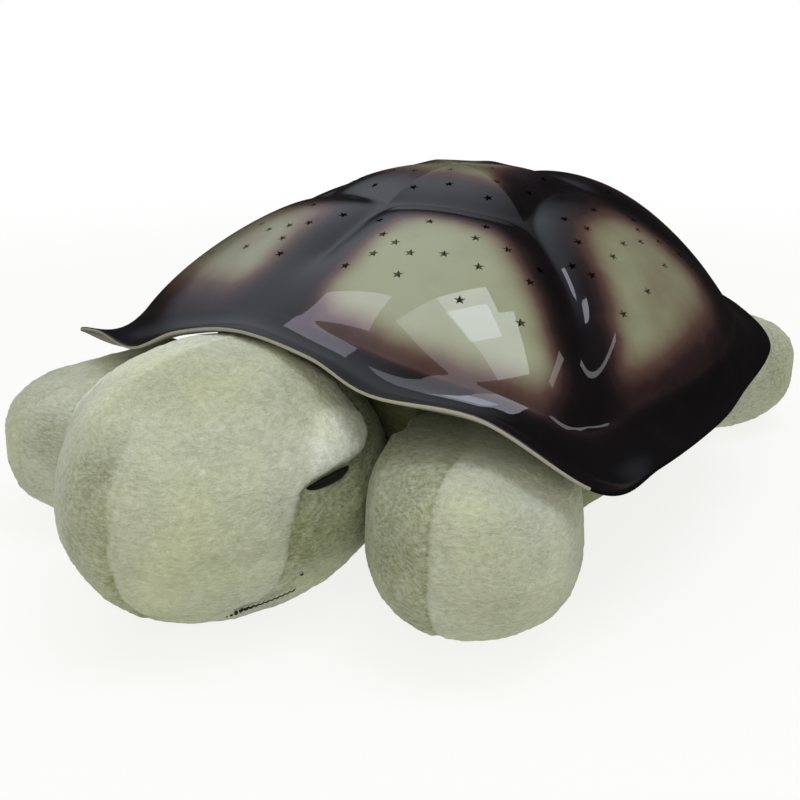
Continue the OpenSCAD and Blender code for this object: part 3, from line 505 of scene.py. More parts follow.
def cutShell(skin, bare, holeWallShade, points, faces, shade, brim):
    # star holes and the button panel's opening, then the uncut skin's own normals and paint
    s, p = shellSettings, panelSettings
    tree = BVHTree.FromPolygons(points.tolist(), faces)
    # the star holes' walls take the painted shade
    cutAway(skin, *starCutter(), holeWallShade)
    outline = roundedOutline(p["length"] + 2 * p["gap"], p["width"] + 2 * p["gap"], p["round"] + p["gap"])
    block, blockFaces = prism(outline, -4 * p["depth"], p["depth"])
    cutAway(skin, onPanel(block), blockFaces, bare)
    mesh = skin.data
    corners = np.array([list(f) + [f[0]] * (4 - len(f)) for f in faces])
    smooth = meshNormals(points, corners)
    co, vertexNormal = readVectors(mesh.vertices, "co"), readVectors(mesh.vertex_normals, "vector")
    vertexShade, vertexBrim = np.zeros((2, len(co)))
    for i, c in enumerate(co):
        spot, _, face, _ = tree.find_nearest(c)
        ids = corners[face]
        gap = np.linalg.norm(points[ids] - np.array(spot), axis=1)
        weight = 1 / (gap + 1e-6) ** 2
        weight /= weight.sum()
        vertexNormal[i] = weight @ smooth[ids]
        vertexShade[i], vertexBrim[i] = weight @ shade[ids], weight @ brim[ids]
    vertexNormal = unit(vertexNormal)
    setNumbers(skin, "shade", vertexShade)
    setNumbers(skin, "brim", vertexBrim)
    # a corner keeps its face's own direction where that leaves the skin's, as in a hole's wall
    loopNormals = []
    for polygon in mesh.polygons:
        facing, target = np.array(polygon.normal), vertexNormal[list(polygon.vertices)]
        loopNormals += [way if way @ facing > s["sameWay"] else facing for way in target]
    mesh.normals_split_custom_set(np.array(loopNormals).tolist())


# ------------------------------------------------ finishes

def newFinish(name):
    # a material, its tree and shader, and the place on the piece in metres
    finish = bpy.data.materials.new(name)
    finish.use_nodes = True
    tree = finish.node_tree
    return finish, tree, tree.nodes["Principled BSDF"], addNode(tree, "TexCoord", {}, "Object")


shellPaint = {"stops": [(0.0, "#8f9479"), (0.15, "#84876c"), (0.33, "#736b56"), (0.52, "#533f37"),
                        (0.72, "#2e201f"), (0.88, "#181213"), (1.0, "#0d0b0c")],
              "mottle": 16.0, "unevenness": 0.3, "coatRoughness": 0.025}


def airbrushedShell():
    # moulded ABS, airbrushed from cream to brown and black under a wet-looking clear coat
    finish, tree, shader, place = newFinish("airbrushedClearcoatAbs")
    s = shellPaint
    shade = addNode(tree, "Attribute", {}, "Fac", attribute_name="shade")
    drift = addNode(tree, "TexNoise", {"Vector": place, "Scale": 1000 / s["mottle"], "Detail": 3.0})
    nudge = addNode(tree, "Math", {0: drift, 1: -0.5}, operation="ADD")
    varied = addNode(tree, "Math", {0: nudge, 1: s["unevenness"], 2: shade}, operation="MULTIPLY_ADD")
    ramp = addNode(tree, "ValToRGB", {0: varied}, stops=s["stops"])
    # the gloss is the coat's
    fillInputs(tree, shader, {"Base Color": ramp, "Roughness": 0.5, "IOR": 1.5, "Specular IOR Level": 0.05,
                              "Coat Weight": 1.0, "Coat Roughness": s["coatRoughness"]})
    return finish


def clouded(name, one, other, scale, inputs):
    # one smooth material whose colour drifts a little
    finish, tree, shader, place = newFinish(name)
    drift = addNode(tree, "TexNoise", {"Vector": place, "Scale": scale})
    tone = addNode(tree, "Mix", {0: drift, 6: one, 7: other}, 2, data_type="RGBA")
    fillInputs(tree, shader, {"Base Color": tone, **inputs})
    return finish


plushSettings = {
    # from the shade between the fibres over nap brushed one way and the other to the fibre tips
    "stops": [(0.0, "#575d3e"), (0.26, "#828768"), (0.55, "#a5a996"), (0.8, "#bbbfaf"), (1.0, "#d2d6ca")],
    # millimetres across a stroke, a fibre, a swirl, a brushed patch and a worn one
    "stroke": 2.1, "fibre": 0.5, "swirl": 11.0, "patch": 23.0, "wear": 46.0,
    # how far strokes, fibres and brushing move the tone, and the height of the pile in metres
    "grain": 0.17, "speck": 0.07, "brushing": 0.26, "pile": 0.0007,
    "stretch": (1.0, 1.0, 2.3), "bending": (0.003, 0.003, 0.012), "tinge": "#f8f9e2", "sheen": "#e4ead8",
}


def velboa(name, s):
    # knitted polyester plush, sheared short: matte, brushed in soft patches, short level strokes in the pile
    finish, tree, shader, place = newFinish(name)
    swirl = addNode(tree, "TexNoise", {"Vector": place, "Scale": 1000 / s["swirl"], "Detail": 1.0}, "Color")
    pulled = addNode(tree, "VectorMath", {0: place, 1: s["stretch"]}, operation="MULTIPLY")
    bent = addNode(tree, "VectorMath", {0: swirl, 1: s["bending"], 2: pulled}, operation="MULTIPLY_ADD")
    strokes = addNode(tree, "TexNoise", {"Vector": bent, "Scale": 1000 / s["stroke"], "Detail": 2.0,
                                         "Roughness": 0.62})
    fibres = addNode(tree, "TexNoise", {"Vector": bent, "Scale": 1000 / s["fibre"], "Detail": 1.0})
    patches = addNode(tree, "TexNoise", {"Vector": place, "Scale": 1000 / s["patch"], "Detail": 4.0,
                                         "Roughness": 0.6})
    worn = addNode(tree, "TexNoise", {"Vector": place, "Scale": 1000 / s["wear"], "Detail": 2.0})
    nap = addNode(tree, "Attribute", {}, "Fac", attribute_name="nap")
    seam = addNode(tree, "Attribute", {}, "Fac", attribute_name="seam")
    parts = ((patches, s["brushing"]), (strokes, s["grain"]), (fibres, s["speck"]))
    brushed, swing, speck = [addNode(tree, "MapRange", {"Value": value, "From Min": 0.3, "From Max": 0.7,
                                                        "To Min": -most, "To Max": most})
                             for value, most in parts]
    lay = addNode(tree, "Math", {0: nap, 1: brushed}, operation="ADD")
    base = addNode(tree, "Math", {0: lay, 1: 0.52, 2: 0.24}, operation="MULTIPLY_ADD")
    # strokes are deeper where the nap stands up than where it lies smooth
    depth = addNode(tree, "Math", {0: lay, 1: -0.35, 2: 1.0}, operation="MULTIPLY_ADD")
    stroked = addNode(tree, "Math", {0: swing, 1: depth, 2: base}, operation="MULTIPLY_ADD")
    tone = addNode(tree, "Math", {0: stroked, 1: speck}, operation="ADD")
    # painted shade along the seams, darker in their folds
    sewn = addNode(tree, "Math", {0: seam, 1: -0.5, 2: tone}, operation="MULTIPLY_ADD")
    ramp = addNode(tree, "ValToRGB", {0: sewn}, stops=s["stops"])
    share = addNode(tree, "MapRange", {"Value": worn, "From Min": 0.4, "From Max": 0.68})
    tinged = addNode(tree, "Mix", {0: share, 6: ramp, 7: s["tinge"]}, 2,
                     data_type="RGBA", blend_type="MULTIPLY")
    pile = addNode(tree, "Math", {0: fibres, 1: 0.5, 2: strokes}, operation="MULTIPLY_ADD")
    bump = addNode(tree, "Bump", {"Strength": 0.8, "Distance": s["pile"], "Height": pile})
    fillInputs(tree, shader, {"Base Color": tinged, "Normal": bump, "Roughness": 0.95,
                              "Specular IOR Level": 0.1, "Sheen Weight": 0.4, "Sheen Roughness": 0.35,
                              "Sheen Tint": s["sheen"]})
    return finish


def mouldedPlastic(name, colour, roughness=0.38, coat=0.0):
    # injection-moulded plastic with a fine spark-eroded grain
    finish, tree, shader, place = newFinish(name)
    spark = addNode(tree, "TexNoise", {"Vector": place, "Scale": 1000 / 0.6, "Detail": 3.0})
    rough = addNode(tree, "MapRange", {"Value": spark, "To Min": roughness - 0.06,
                                       "To Max": roughness + 0.08})
    drift = addNode(tree, "TexNoise", {"Vector": place, "Scale": 60.0, "Detail": 2.0})
    tone = addNode(tree, "Mix", {0: drift, 6: linearColour(colour, 0.86), 7: colour}, 2, data_type="RGBA")
    bump = addNode(tree, "Bump", {"Strength": 0.15, "Distance": 0.00005, "Height": spark})
    fillInputs(tree, shader, {"Base Color": tone, "Roughness": rough, "Normal": bump, "Coat Weight": coat})
    return finish


def turnedMetal(name, colour, roughness=0.3):
    # plated or drawn metal with fine scratches along it
    finish, tree, shader, place = newFinish(name)
    pulled = addNode(tree, "VectorMath", {0: place, 1: (900.0, 900.0, 9000.0)}, operation="MULTIPLY")
    scratch = addNode(tree, "TexNoise", {"Vector": pulled, "Scale": 1.0, "Detail": 2.0})
    rough = addNode(tree, "MapRange", {"Value": scratch, "To Min": roughness - 0.08,
                                       "To Max": roughness + 0.12})
    fillInputs(tree, shader, {"Base Color": colour, "Metallic": 1.0, "Roughness": rough})
    return finish


def circuitLaminate(name, mask, copper):
    # glass-epoxy laminate: solder mask over faint straight tracks
    finish, tree, shader, place = newFinish(name)
    cells = addNode(tree, "TexVoronoi", {"Vector": place, "Scale": 1000 / 5.0}, distance="CHEBYCHEV")
    line = addNode(tree, "MapRange", {"Value": cells, "From Min": 0.38, "From Max": 0.42})
    tone = addNode(tree, "Mix", {0: line, 6: mask, 7: copper}, 2, data_type="RGBA")
    fillInputs(tree, shader, {"Base Color": tone, "Roughness": 0.3, "IOR": 1.55})
    return finish


def wovenTape(name, colour, pitch, height):
    # hook or loop tape: rows of tiny nylon hooks or loops on a woven ground
    finish, tree, shader, place = newFinish(name)
    cells = addNode(tree, "TexVoronoi", {"Vector": place, "Scale": 1000 / pitch, "Randomness": 0.35})
    tone = addNode(tree, "Mix", {0: cells, 6: linearColour(colour, 1.9, 0.01), 7: colour}, 2,
                   data_type="RGBA")
    bump = addNode(tree, "Bump", {"Strength": 0.8, "Distance": height * mm, "Height": cells})
    fillInputs(tree, shader, {"Base Color": tone, "Normal": bump, "Roughness": 0.8})
    return finish


def clearLamp(name, colour):
    # tinted epoxy lamp body
    return clouded(name, colour, linearColour(colour, 0.8), 700.0,
                   {"Roughness": 0.08, "IOR": 1.52, "Transmission Weight": 0.6})


def sewingThread(name, colour):
    # twisted polyester thread
    finish, tree, shader, place = newFinish(name)
    twist = addNode(tree, "TexWave", {"Vector": place, "Scale": 500.0, "Distortion": 1.5,
                                      "Detail": 1.0}, "Fac")
    tone = addNode(tree, "Mix", {0: twist, 6: colour, 7: linearColour(colour, 2.2, 0.004)}, 2,
                   data_type="RGBA")
    bump = addNode(tree, "Bump", {"Strength": 0.5, "Distance": 0.0001, "Height": twist})
    fillInputs(tree, shader, {"Base Color": tone, "Normal": bump, "Roughness": 0.6})
    return finish


finishes = {
    "shell": airbrushedShell(),
    # the same ABS unpainted: ivory, satin from the mould
    "shellBare": clouded("ivoryMouldedAbs", "#8f8f7c", "#a09f8c", 900.0, {"Roughness": 0.35, "IOR": 1.52}),
    # painted shade: near-black walls for the star holes stand in for the shade inside them
    "starHoleShade": mouldedPlastic("paintedShadeStarHoleWall", "#171310", 0.7),
    "panel": mouldedPlastic("umberPanelAbs", "#2c1d18", 0.3, 0.4),
    "housing": mouldedPlastic("darkGreenHousingAbs", "#1f2a22", 0.45),
    "deck": mouldedPlastic("matteBlackDeckAbs", "#131416", 0.6),
    "steel": turnedMetal("zincPlatedSteel", "#b9bcc0"),
    "spring": turnedMetal("nickelSpringSteel", "#cfd1d4", 0.22),
    "cell": mouldedPlastic("shrinkWrappedCell", "#8f9aa3", 0.3, 0.5),
    "circuit": circuitLaminate("greenCircuitLaminate", "#1f5a30", "#2f7040"),
    "lampBoard": circuitLaminate("whiteCircuitLaminate", "#dfe1dc", "#c8cac4"),
    "component": mouldedPlastic("blackEpoxyComponent", "#17181a", 0.55),
    "lampPost": mouldedPlastic("whiteLampPostAbs", "#dcdad0", 0.4),
    "blueLamp": clearLamp("blueLampEpoxy", "#8fb4ff"),
    "greenLamp": clearLamp("greenLampEpoxy", "#9be8a0"),
    "amberLamp": clearLamp("amberLampEpoxy", "#ffc878"),
    "tinned": turnedMetal("tinnedCopperWire", "#d8cfb0", 0.35),
    "powerButton": mouldedPlastic("ivoryButtonAbs", "#e6dfc4", 0.3, 0.5),
    "blueButton": mouldedPlastic("blueButtonAbs", "#3566ab", 0.3, 0.5),
    "greenButton": mouldedPlastic("greenButtonAbs", "#43904c", 0.3, 0.5),
    "amberButton": mouldedPlastic("amberButtonAbs", "#d0862a", 0.3, 0.5),
    "ribbon": mouldedPlastic("greyRibbonPvc", "#9a9da1", 0.5),
    "redWire": mouldedPlastic("redWirePvc", "#a8231c", 0.4),
    "blackWire": mouldedPlastic("blackWirePvc", "#1b1b1d", 0.4),
    "limbPlush": velboa("sageVelboaPlush", plushSettings),
    # painted shade: a darker copy of the sage plush for the body cushion and the belly flap, which sit in
    # shade under the shell
    "shadedBodyPlush": velboa("shadedSageVelboaPlush", dict(plushSettings, stops=[
        (0.0, "#42472f"), (0.26, "#656a49"), (0.55, "#7f8461"), (0.8, "#929775"), (1.0, "#a8ad8b")])),
    # moulded black eye, dulled by handling
    "eye": clouded("satinBlackEye", "#060607", "#0e0d10", 300.0, {"Roughness": 0.5, "IOR": 1.45}),
    "thread": sewingThread("blackPolyesterThread", "#1c1b19"),
    "hook": wovenTape("nylonHookTape", "#2b2d28", 1.4, 0.4),
    "loop": wovenTape("brushedLoopTape", "#55593f", 0.9, 0.3),
}
print("finishes ready:", len(finishes))

finishedNodes = {
    "panel": "button_panel", "housing": "base_tray battery_door", "deck": "light_deck", "cell": "batteries",
    "steel": "battery_door_screw shell_screws deck_screws main_board_screws control_board_screws",
    "spring": "contact_springs contact_plates", "circuit": "main_board control_board",
    "component": "board_components tact_switches", "lampPost": "led_post", "lampBoard": "led_board",
    "blueLamp": "led_blue", "greenLamp": "led_green", "amberLamp": "led_amber", "tinned": "led_leads",
    "powerButton": "power_button", "blueButton": "blue_button", "greenButton": "green_button",
    "amberButton": "amber_button", "ribbon": "button_ribbon", "redWire": "battery_lead_red",
    "blackWire": "battery_lead_black", "hook": "hook_strips", "loop": "loop_strips",
}
for finish, names in finishedNodes.items():
    for name in names.split():
        for slot in nodes[name].material_slots:
            slot.material = finishes[finish]

# ------------------------------------------------ stuffed pieces

def bend(v, power):
    return np.sign(v) * np.abs(v) ** power


def quadBall(n):
    # directions over a ball as six grids of squares, so that no pole pinches the pile
    span = np.tan(np.linspace(-math.pi / 4, math.pi / 4, n + 1))
    a, b = np.meshgrid(span, span, indexing="ij")
    one = np.ones_like(a)
    sides = [(one, a, b), (-one, b, a), (b, one, a), (a, -one, b), (a, b, one), (b, a, -one)]
    points = np.concatenate([np.stack(s, -1).reshape(-1, 3) for s in sides])
    quads = []
    for k in range(6):
        i, j = np.meshgrid(np.arange(n), np.arange(n), indexing="ij")
        first = k * (n + 1) ** 2 + i * (n + 1) + j
        quads.append(np.stack([first, first + n + 1, first + n + 2, first + 1], -1).reshape(-1, 4))
    unique, index = np.unique(np.round(points, 7), axis=0, return_inverse=True)
    return unit(unique), index.ravel()[np.concatenate(quads)]


def plump(ways, half, height, look):
    # the stuffed form of the frame's solids; a lower power fills the form's corners out
    up, side = np.arcsin(np.clip(ways[:, 2], -1, 1)), np.arctan2(ways[:, 0], -ways[:, 1])
    a, b = half
    tall = (height + look["sunk"]) / 2
    rise = np.where(up > 0, look["upper"], look["lower"])
    c = bend(np.cos(up), rise)
    rear = smoothStep(0.2, -0.5, np.cos(side))
    long = (1 - rear) * c + rear * bend(np.cos(up), look["rear"])
    y = -b * long * bend(np.cos(side), look["plan"])
    x = a * c * bend(np.sin(side), look["plan"]) * (1 + look["taper"] * y / b)
    return np.column_stack([x, y, tall - look["sunk"] + tall * bend(np.sin(up), rise)])


def wayOf(side, up):
    s, u = np.radians(side), np.radians(up)
    return np.stack([np.cos(u) * np.sin(s), -np.cos(u) * np.cos(s), np.sin(u)], -1)


def settle(points, soft=2.5):
    # rests on the floor: what would sink is pressed flat, with a soft turn
    z = points[:, 2]
    points[:, 2] = np.where(z < soft, np.maximum(0, (z + soft) ** 2 / (4 * soft) * (z > -soft)), z)
    return points


# height, size and levelness of lumps, wrinkles, strokes and tufts
pileSettings = [(0.7, 24, 1), (0.35, 8, 1), (0.28, 2.6, 2), (0.16, 1.3, 1)]


def pileHeight(points, seed):
    return sum(height * noise(points * (1, 1, level) / size, seed + i)
               for i, (height, size, level) in enumerate(pileSettings))


def seamDistance(points, line):
    # distance from each point to a polyline, in millimetres
    best = np.full(len(points), 1e9)
    for a, b in zip(line[:-1], line[1:]):
        ab = b - a
        t = np.clip((points - a) @ ab / max(ab @ ab, 1e-9), 0, 1)
        best = np.minimum(best, np.linalg.norm(points - a - t[:, None] * ab, axis=1))
    return best


def insidePolygon(x, y, corners):
    inside = np.zeros(len(x), bool)
    for (x1, y1), (x2, y2) in zip(corners, corners[1:] + corners[:1]):
        crosses = (y1 > y) != (y2 > y)
        with np.errstate(divide="ignore", invalid="ignore"):
            inside ^= crosses & (x < (x2 - x1) * (y - y1) / (y2 - y1) + x1)
    return inside


seamSettings = {"valley": 0.35, "valleyWidth": 1.1, "shoulder": 0.25, "shoulderAt": 5, "shoulderWidth": 4,
                "shade": 0.22, "shadeWidth": 0.8}


def makePlush(name, points, quads, nap, seam, seed, hold):
    # pile stands out of the sewn skin, which dips at a seam; hold is 0 where the skin is pressed or cut
    s = seamSettings
    shoulder = s["shoulder"] * hump(seam - s["shoulderAt"], s["shoulderWidth"])
    rise = (pileHeight(points, seed) + shoulder - s["valley"] * hump(seam, s["valleyWidth"])) * hold
    skin = points + meshNormals(points, quads) * rise[:, None]
    piece = makeMesh(name, skin * mm, quads.tolist(), [finishes["limbPlush"]])
    setNumbers(piece, "nap", nap)
    setNumbers(piece, "seam", s["shade"] * hump(seam, s["shadeWidth"]))
    return piece


headSettings = {"half": (52, 59.5), "height": 85.8, "middle": (0, -129.5),
                "turn": 10, "neck": -82.3, "grid": 84,
                "look": {"upper": 1, "lower": 1, "plan": 1.08, "taper": 0.15, "sunk": 3, "rear": 1}}
eyeSettings = {"side": 81, "up": 15.9, "tilt": 1.3, "length": 10.5, "above": 1.2, "below": 3.2, "rise": 0.7,
               "sunk": 1.9, "rings": 14, "around": 48}


def headPlace(points):
    s = headSettings
    x, y = spin(points[:, 0], points[:, 1], s["turn"])
    return np.column_stack([x + s["middle"][0], y + s["middle"][1], points[:, 2]])


def headForm(ways):
    return plump(ways, headSettings["half"], headSettings["height"], headSettings["look"])


def headOut(points):
    # outward directions on the head's form
    s = headSettings
    (a, b), sunk = s["half"], s["look"]["sunk"]
    tall = (s["height"] + sunk) / 2
    return unit(np.column_stack([points[:, 0] / a ** 2, points[:, 1] / b ** 2,
                                 (points[:, 2] - tall + sunk) / tall ** 2]))


def headLine(corners, steps=12):
    side, up = np.array(corners, float).T
    t = np.linspace(0, len(corners) - 1, steps * (len(corners) - 1) + 1)
    return headPlace(headForm(wayOf(np.interp(t, range(len(side)), side), np.interp(t, range(len(up)), up))))


def mirrored(corners):
    return [(-side, up) for side, up in corners]


# sides and heights in degrees: the panels' seams, the brow lobe's outline and the mouth
headSeams = {
    "centre": [(8, 88), (12, 74), (13, 59), (10, 45), (12, 29), (9, 10), (8, 1), (8, -11), (5, -31),
               (3, -60)],
    "lid": [(124, 62), (117, 45), (112, 31), (107, 24), (98, 19.5), (88, 18.5), (80, 18), (73, 17), (69, 14),
            (67, 8), (65, 0), (64, -7), (63, -19), (61, -27), (58, -33)],
    "cheek": [(48, -37), (40, -60), (180, -60), (180, 62)],
    "lobe": [(70, 16), (75, 30), (87, 41), (101, 39), (112, 31), (107, 24), (98, 19.5), (80, 18), (70, 16)],
    "mouth": [(69, -24), (64, -31), (58, -34), (48, -37), (30, -40), (0, -42), (-30, -40), (-58, -35),
              (-69, -26)],
}
# heights of the puffed parts, and the nap of the cheek and the panel with what the other parts add or take,
# painted shade under the chin, the flipper's painted shadow on the cheek and a painted rim light among them
puffSettings = {"edge": 0.5, "overEye": 2.3, "brow": 1.2, "underBrow": 1.3}
napAndPaintedLightSettings = {"cheek": 0.12, "cheekLiftBelowShadow": 0.42, "panel": 0.74, "brow": 0.34, "shadedChin": 0.3, "right": 0.42,
               "paintedRimLight": 0.35, "crown": 0.22}


def buildHead():
    s, puffs, napsAndPaintedLight = headSettings, puffSettings, napAndPaintedLightSettings
    ways, quads = quadBall(s["grid"])
    side, up = sideOf(ways), np.degrees(np.arcsin(np.clip(ways[:, 2], -1, 1)))
    skin = headPlace(headForm(ways))
    lid, lobe = headSeams["lid"], headSeams["lobe"]
    seams = [headSeams["centre"], lid, mirrored(lid), headSeams["mouth"]]
    inCheek = insidePolygon(np.abs(side), up, lid + headSeams["cheek"])
    gaps = [seamDistance(skin, headLine(line)) for line in seams]
    gaps[0] += 12 * smoothStep(25, 50, up)  # the centre seam is brushed over on the crown
    distance = np.min(gaps, axis=0)
    lidDistance = np.minimum(gaps[1], gaps[2])
    browGap = np.minimum(*[seamDistance(skin, headLine(line)) for line in (lobe, mirrored(lobe))])
    brow = smoothStep(-1.5, 2.5, np.where(insidePolygon(np.abs(side), up, lobe), browGap, -browGap))
    # the front panel overlaps the cheek panel with a puffed edge, most of all over the eyes
    signed = np.where(inCheek, -lidDistance, lidDistance)
    overEye = hump(np.abs(side) - 84, 17) * hump(up - 25, 10)
    puff = puffs["edge"] * np.tanh(signed / 1.6) * np.exp(-lidDistance / 7)
    puff += puffs["overEye"] * overEye * smoothStep(-1.2, 2.2, signed)
    puff += puffs["brow"] * brow
    puff -= puffs["underBrow"] * hump(np.abs(side) - 80, 12) * hump(up - 13, 6) * (signed < 0.5)
    skin = settle(skin + meshNormals(skin, quads) * puff[:, None])
    skin[:, 1] = np.minimum(skin[:, 1], s["neck"])
    hold = smoothStep(0.2, 3, skin[:, 2]) * smoothStep(0, 3, s["neck"] - skin[:, 1])
    edge = smoothStep(-0.6, 0.6, signed)
    # the cheek panel is darker nap; painted shadow keeps its upper part darker where the flipper's shadow
    # falls, and it is paler below
    nap = napsAndPaintedLight["cheek"] + napsAndPaintedLight["cheekLiftBelowShadow"] * (1 - smoothStep(-30, -4, up)) * (1 - edge) + napsAndPaintedLight["panel"] * edge
    # painted shade: the front panel darker towards the chin, underneath
    nap += napsAndPaintedLight["brow"] * brow * edge - napsAndPaintedLight["shadedChin"] * smoothStep(-18, -50, up) * edge
    # brushed the other way right of the centre seam, a painted rim light paler towards the right side, and
    # darker left on the crown
    rightSide = smoothStep(9, 7, side) * smoothStep(-75, -60, side)
    nap -= napsAndPaintedLight["right"] * rightSide * edge * (1 - smoothStep(25, 60, up))
    nap += napsAndPaintedLight["paintedRimLight"] * smoothStep(-12, -40, side) * edge
    nap -= napsAndPaintedLight["crown"] * hump(side - 30, 30) * hump(up - 62, 12)
    return makePlush("stuffed_head", skin, quads, nap, distance, 11, hold)


# a limb's size, the axis it swings about, its turn there and how far its middle lies out along it
limbLook = {"upper": 0.6, "lower": 0.9, "plan": 0.9, "taper": 0, "sunk": 0.5, "rear": 0.42}
limbSettings = {
    "left_front_flipper": {"size": (68, 100, 57), "root": (64, -77), "turn": 35, "reach": 16, "lift": 8,
                           "rootRadius": 22, "flare": 15, "rootFill": 0.9, "brimDip": 4.4, "seam": -20,
                           "nap": (0.3, 0.78), "seed": 31},
    "right_front_flipper": {"size": (68, 100, 57), "root": (-64, -77), "turn": -25, "reach": 27, "lift": 0,
                            "rootRadius": 22, "flare": 15, "rootFill": 1, "seam": 20,
                            "nap": (0.7, 0.74), "seed": 41},
}
for side, sign, seed in (("left", 1, 51), ("right", -1, 61)):
    limbSettings[side + "_rear_foot"] = {
        "size": (64, 86, 50), "root": (sign * 35, 90.6), "turn": sign * 142, "reach": 36, "lift": 0,
        "rootRadius": 16, "flare": 21, "rootFill": 1, "seam": sign * -12, "nap": (0.5, 0.65), "seed": seed}
# millimetres left between a flipper and the head
headGap = 1.5
# where the shell's corner passes over the left flipper: middle and reach across and along
dipPlace = {"across": (17, 11), "along": (-44, 12)}


def pressedByHead(skin):
    # pushes what would meet the head out to its side, and tells how free the skin is there
    outline = headForm(wayOf(np.arange(0, 360, 1.0), np.zeros(360)))
    angle, size = sideOf(outline) % 360, np.hypot(outline[:, 0], outline[:, 1])
    order = np.argsort(angle)
    rel = skin[:, :2] - headSettings["middle"]
    local = np.column_stack(spin(rel[:, 0], rel[:, 1], -headSettings["turn"]))
    reach = np.interp(sideOf(local) % 360, angle[order], size[order], period=360) + headGap
    far = np.hypot(*local.T)
    local *= np.where(far < reach, reach / np.maximum(far, 1e-6), 1)[:, None]
    return headPlace(np.column_stack([local, skin[:, 2]])), smoothStep(0, 4, far - reach)


def buildLimb(name, s):
    (w, l, h), (rootX, rootY) = s["size"], s["root"]
    ways, quads = quadBall(60)
    middle = (h - limbLook["sunk"]) / 2

    def limbForm(directions):
        p = plump(directions, (w / 2, l / 2), h, limbLook) - (0, 0, middle)
        y, z = spin(p[:, 1], p[:, 2], -s["lift"])
        p = np.column_stack([p[:, 0], y, z]) + (0, -s["reach"], middle)
        # the stuffing stays as high as the pocket near the root
        near = s["rootFill"] * smoothStep(-42, -4, p[:, 1])
        near *= smoothStep(0.2, 0.75, (p[:, 2] - middle) / middle)
        # and dips where the shell's corner passes over it
        (x, wide), (y, long) = dipPlace["across"], dipPlace["along"]
        under = hump(p[:, 0] - x, wide) * hump(p[:, 1] - y, long) * smoothStep(0.5, 0.9, p[:, 2] / h)
        return p + np.outer(near * (h - p[:, 2]) - s.get("brimDip", 0) * under, [0, 0, 1])

    skin = limbForm(ways)
    distance = seamDistance(skin, limbForm(wayOf(np.full(60, s["seam"]), np.linspace(-70, 88, 60))))
    # the root narrows to a half circle about its axis, inside the body's pocket
    r, y = s["rootRadius"], skin[:, 1]
    share = np.clip(-y / s["flare"], 0, 1)
    limit = np.where(y > 0, np.sqrt(np.maximum(0, r * r - y * y)),
                     r + (w / 2 + 1 - r) * (1 - np.cos(math.pi * share)) / 2)
    limit = np.where(share >= 1, 1e3, limit)
    over = y > 0
    far = np.hypot(skin[:, 0], y)
    skin[:, :2] *= np.where(over & (far > r), r / np.maximum(far, 1e-6), 1)[:, None]
    skin[:, 0] = np.where(over, skin[:, 0], np.clip(skin[:, 0], -limit, limit))
    x, y = spin(skin[:, 0], skin[:, 1], s["turn"])
    skin = np.column_stack([x + rootX, y + rootY, skin[:, 2]])
    free = 1
    if "flipper" in name:
        skin, free = pressedByHead(skin)
    skin = settle(skin)
    fromRoot = np.hypot(skin[:, 0] - rootX, skin[:, 1] - rootY)
    hold = smoothStep(0.2, 3, skin[:, 2]) * smoothStep(r, r + 6, fromRoot) * free
    across = (sideOf(ways) - s["seam"]) * (-1 if s["seam"] > 0 else 1)
    nap = np.where(across < 0, *s["nap"])
    return makePlush("stuffed_" + name, skin, quads, nap, distance, s["seed"], hold)


tailSettings = {"rootY": 89.4, "low": 12, "high": 36, "width": 23, "length": 36, "droop": 6, "rings": 60,
                "around": 72, "nap": 0.6}


def buildTail():
    s = tailSettings
    rings, n = s["rings"], s["around"]
    f, a = np.linspace(0, 1, rings)[:, None], around(n)[None, :]
    r = np.sin(np.radians(20 + 150 * f ** 0.8))
    middle, tall = (s["low"] + s["high"]) / 2 - s["droop"] * f, (s["high"] - s["low"]) / 2
    points = np.stack([s["width"] / 2 * r * np.sin(a), s["rootY"] - 8 + f * s["length"] + 0 * a,
                       middle + tall * r * np.cos(a)], -1).reshape(-1, 3)
    faces = tubeFaces(rings, n)
    hold = smoothStep(s["rootY"] - 2, s["rootY"] + 4, points[:, 1])
    points = points + meshNormals(points, np.array(faces[:-2])) * (pileHeight(points, 71) * hold)[:, None]
    tail = makeMesh("stuffed_tail", points * mm, faces, [finishes["limbPlush"]])
    setNumbers(tail, "nap", np.full(len(points), s["nap"]))
    setNumbers(tail, "seam", np.zeros(len(points)))
    return tail


bodySettings = {
    "width": 194, "front": 83, "rear": 86, "power": 0.8, "columns": 360, "rows": 78,
    # share of the half width, share of the length, and height
    "profile": [(0.66, 0.84, 0), (0.7, 0.92, 3.5), (0.78, 0.97, 11), (0.88, 1, 24), (0.97, 1, 38),
                (0.985, 0.985, 50)],
    # the hem under the shell's crease: share of the width and drop below it
    "hem": [(0.975, 7), (0.95, 3)], "floorSeam": 8, "seamDepth": 0.6, "apex": (0, 0, 58), "sharp": 48,
    # hollows: outline's middle, half width and half length, lowest and highest
    "hollows": [(0, 0, 62.3, 62.3, 13.7, 140), (0, 0, 80.3, 76.3, 49, 140),
                (64, -77, 23.2, 23.2, -2, 58.2), (-64, -77, 23.2, 23.2, -2, 58.2),
                (35, 90.6, 17.2, 17.2, -2, 51.2), (-35, 90.6, 17.2, 17.2, -2, 51.2),
                (0, 89.4, 11.2, 11.2, 8, 40)],
    # square recesses: left, right, front, rear, lowest and highest
    "recesses": [(-31.2, 31.2, 5.5, 55, -2, 16), (-38.2, 38.2, 2, 60.5, -2, 5),
                 (-50, 50, -110, -82, -2, 140)],
}


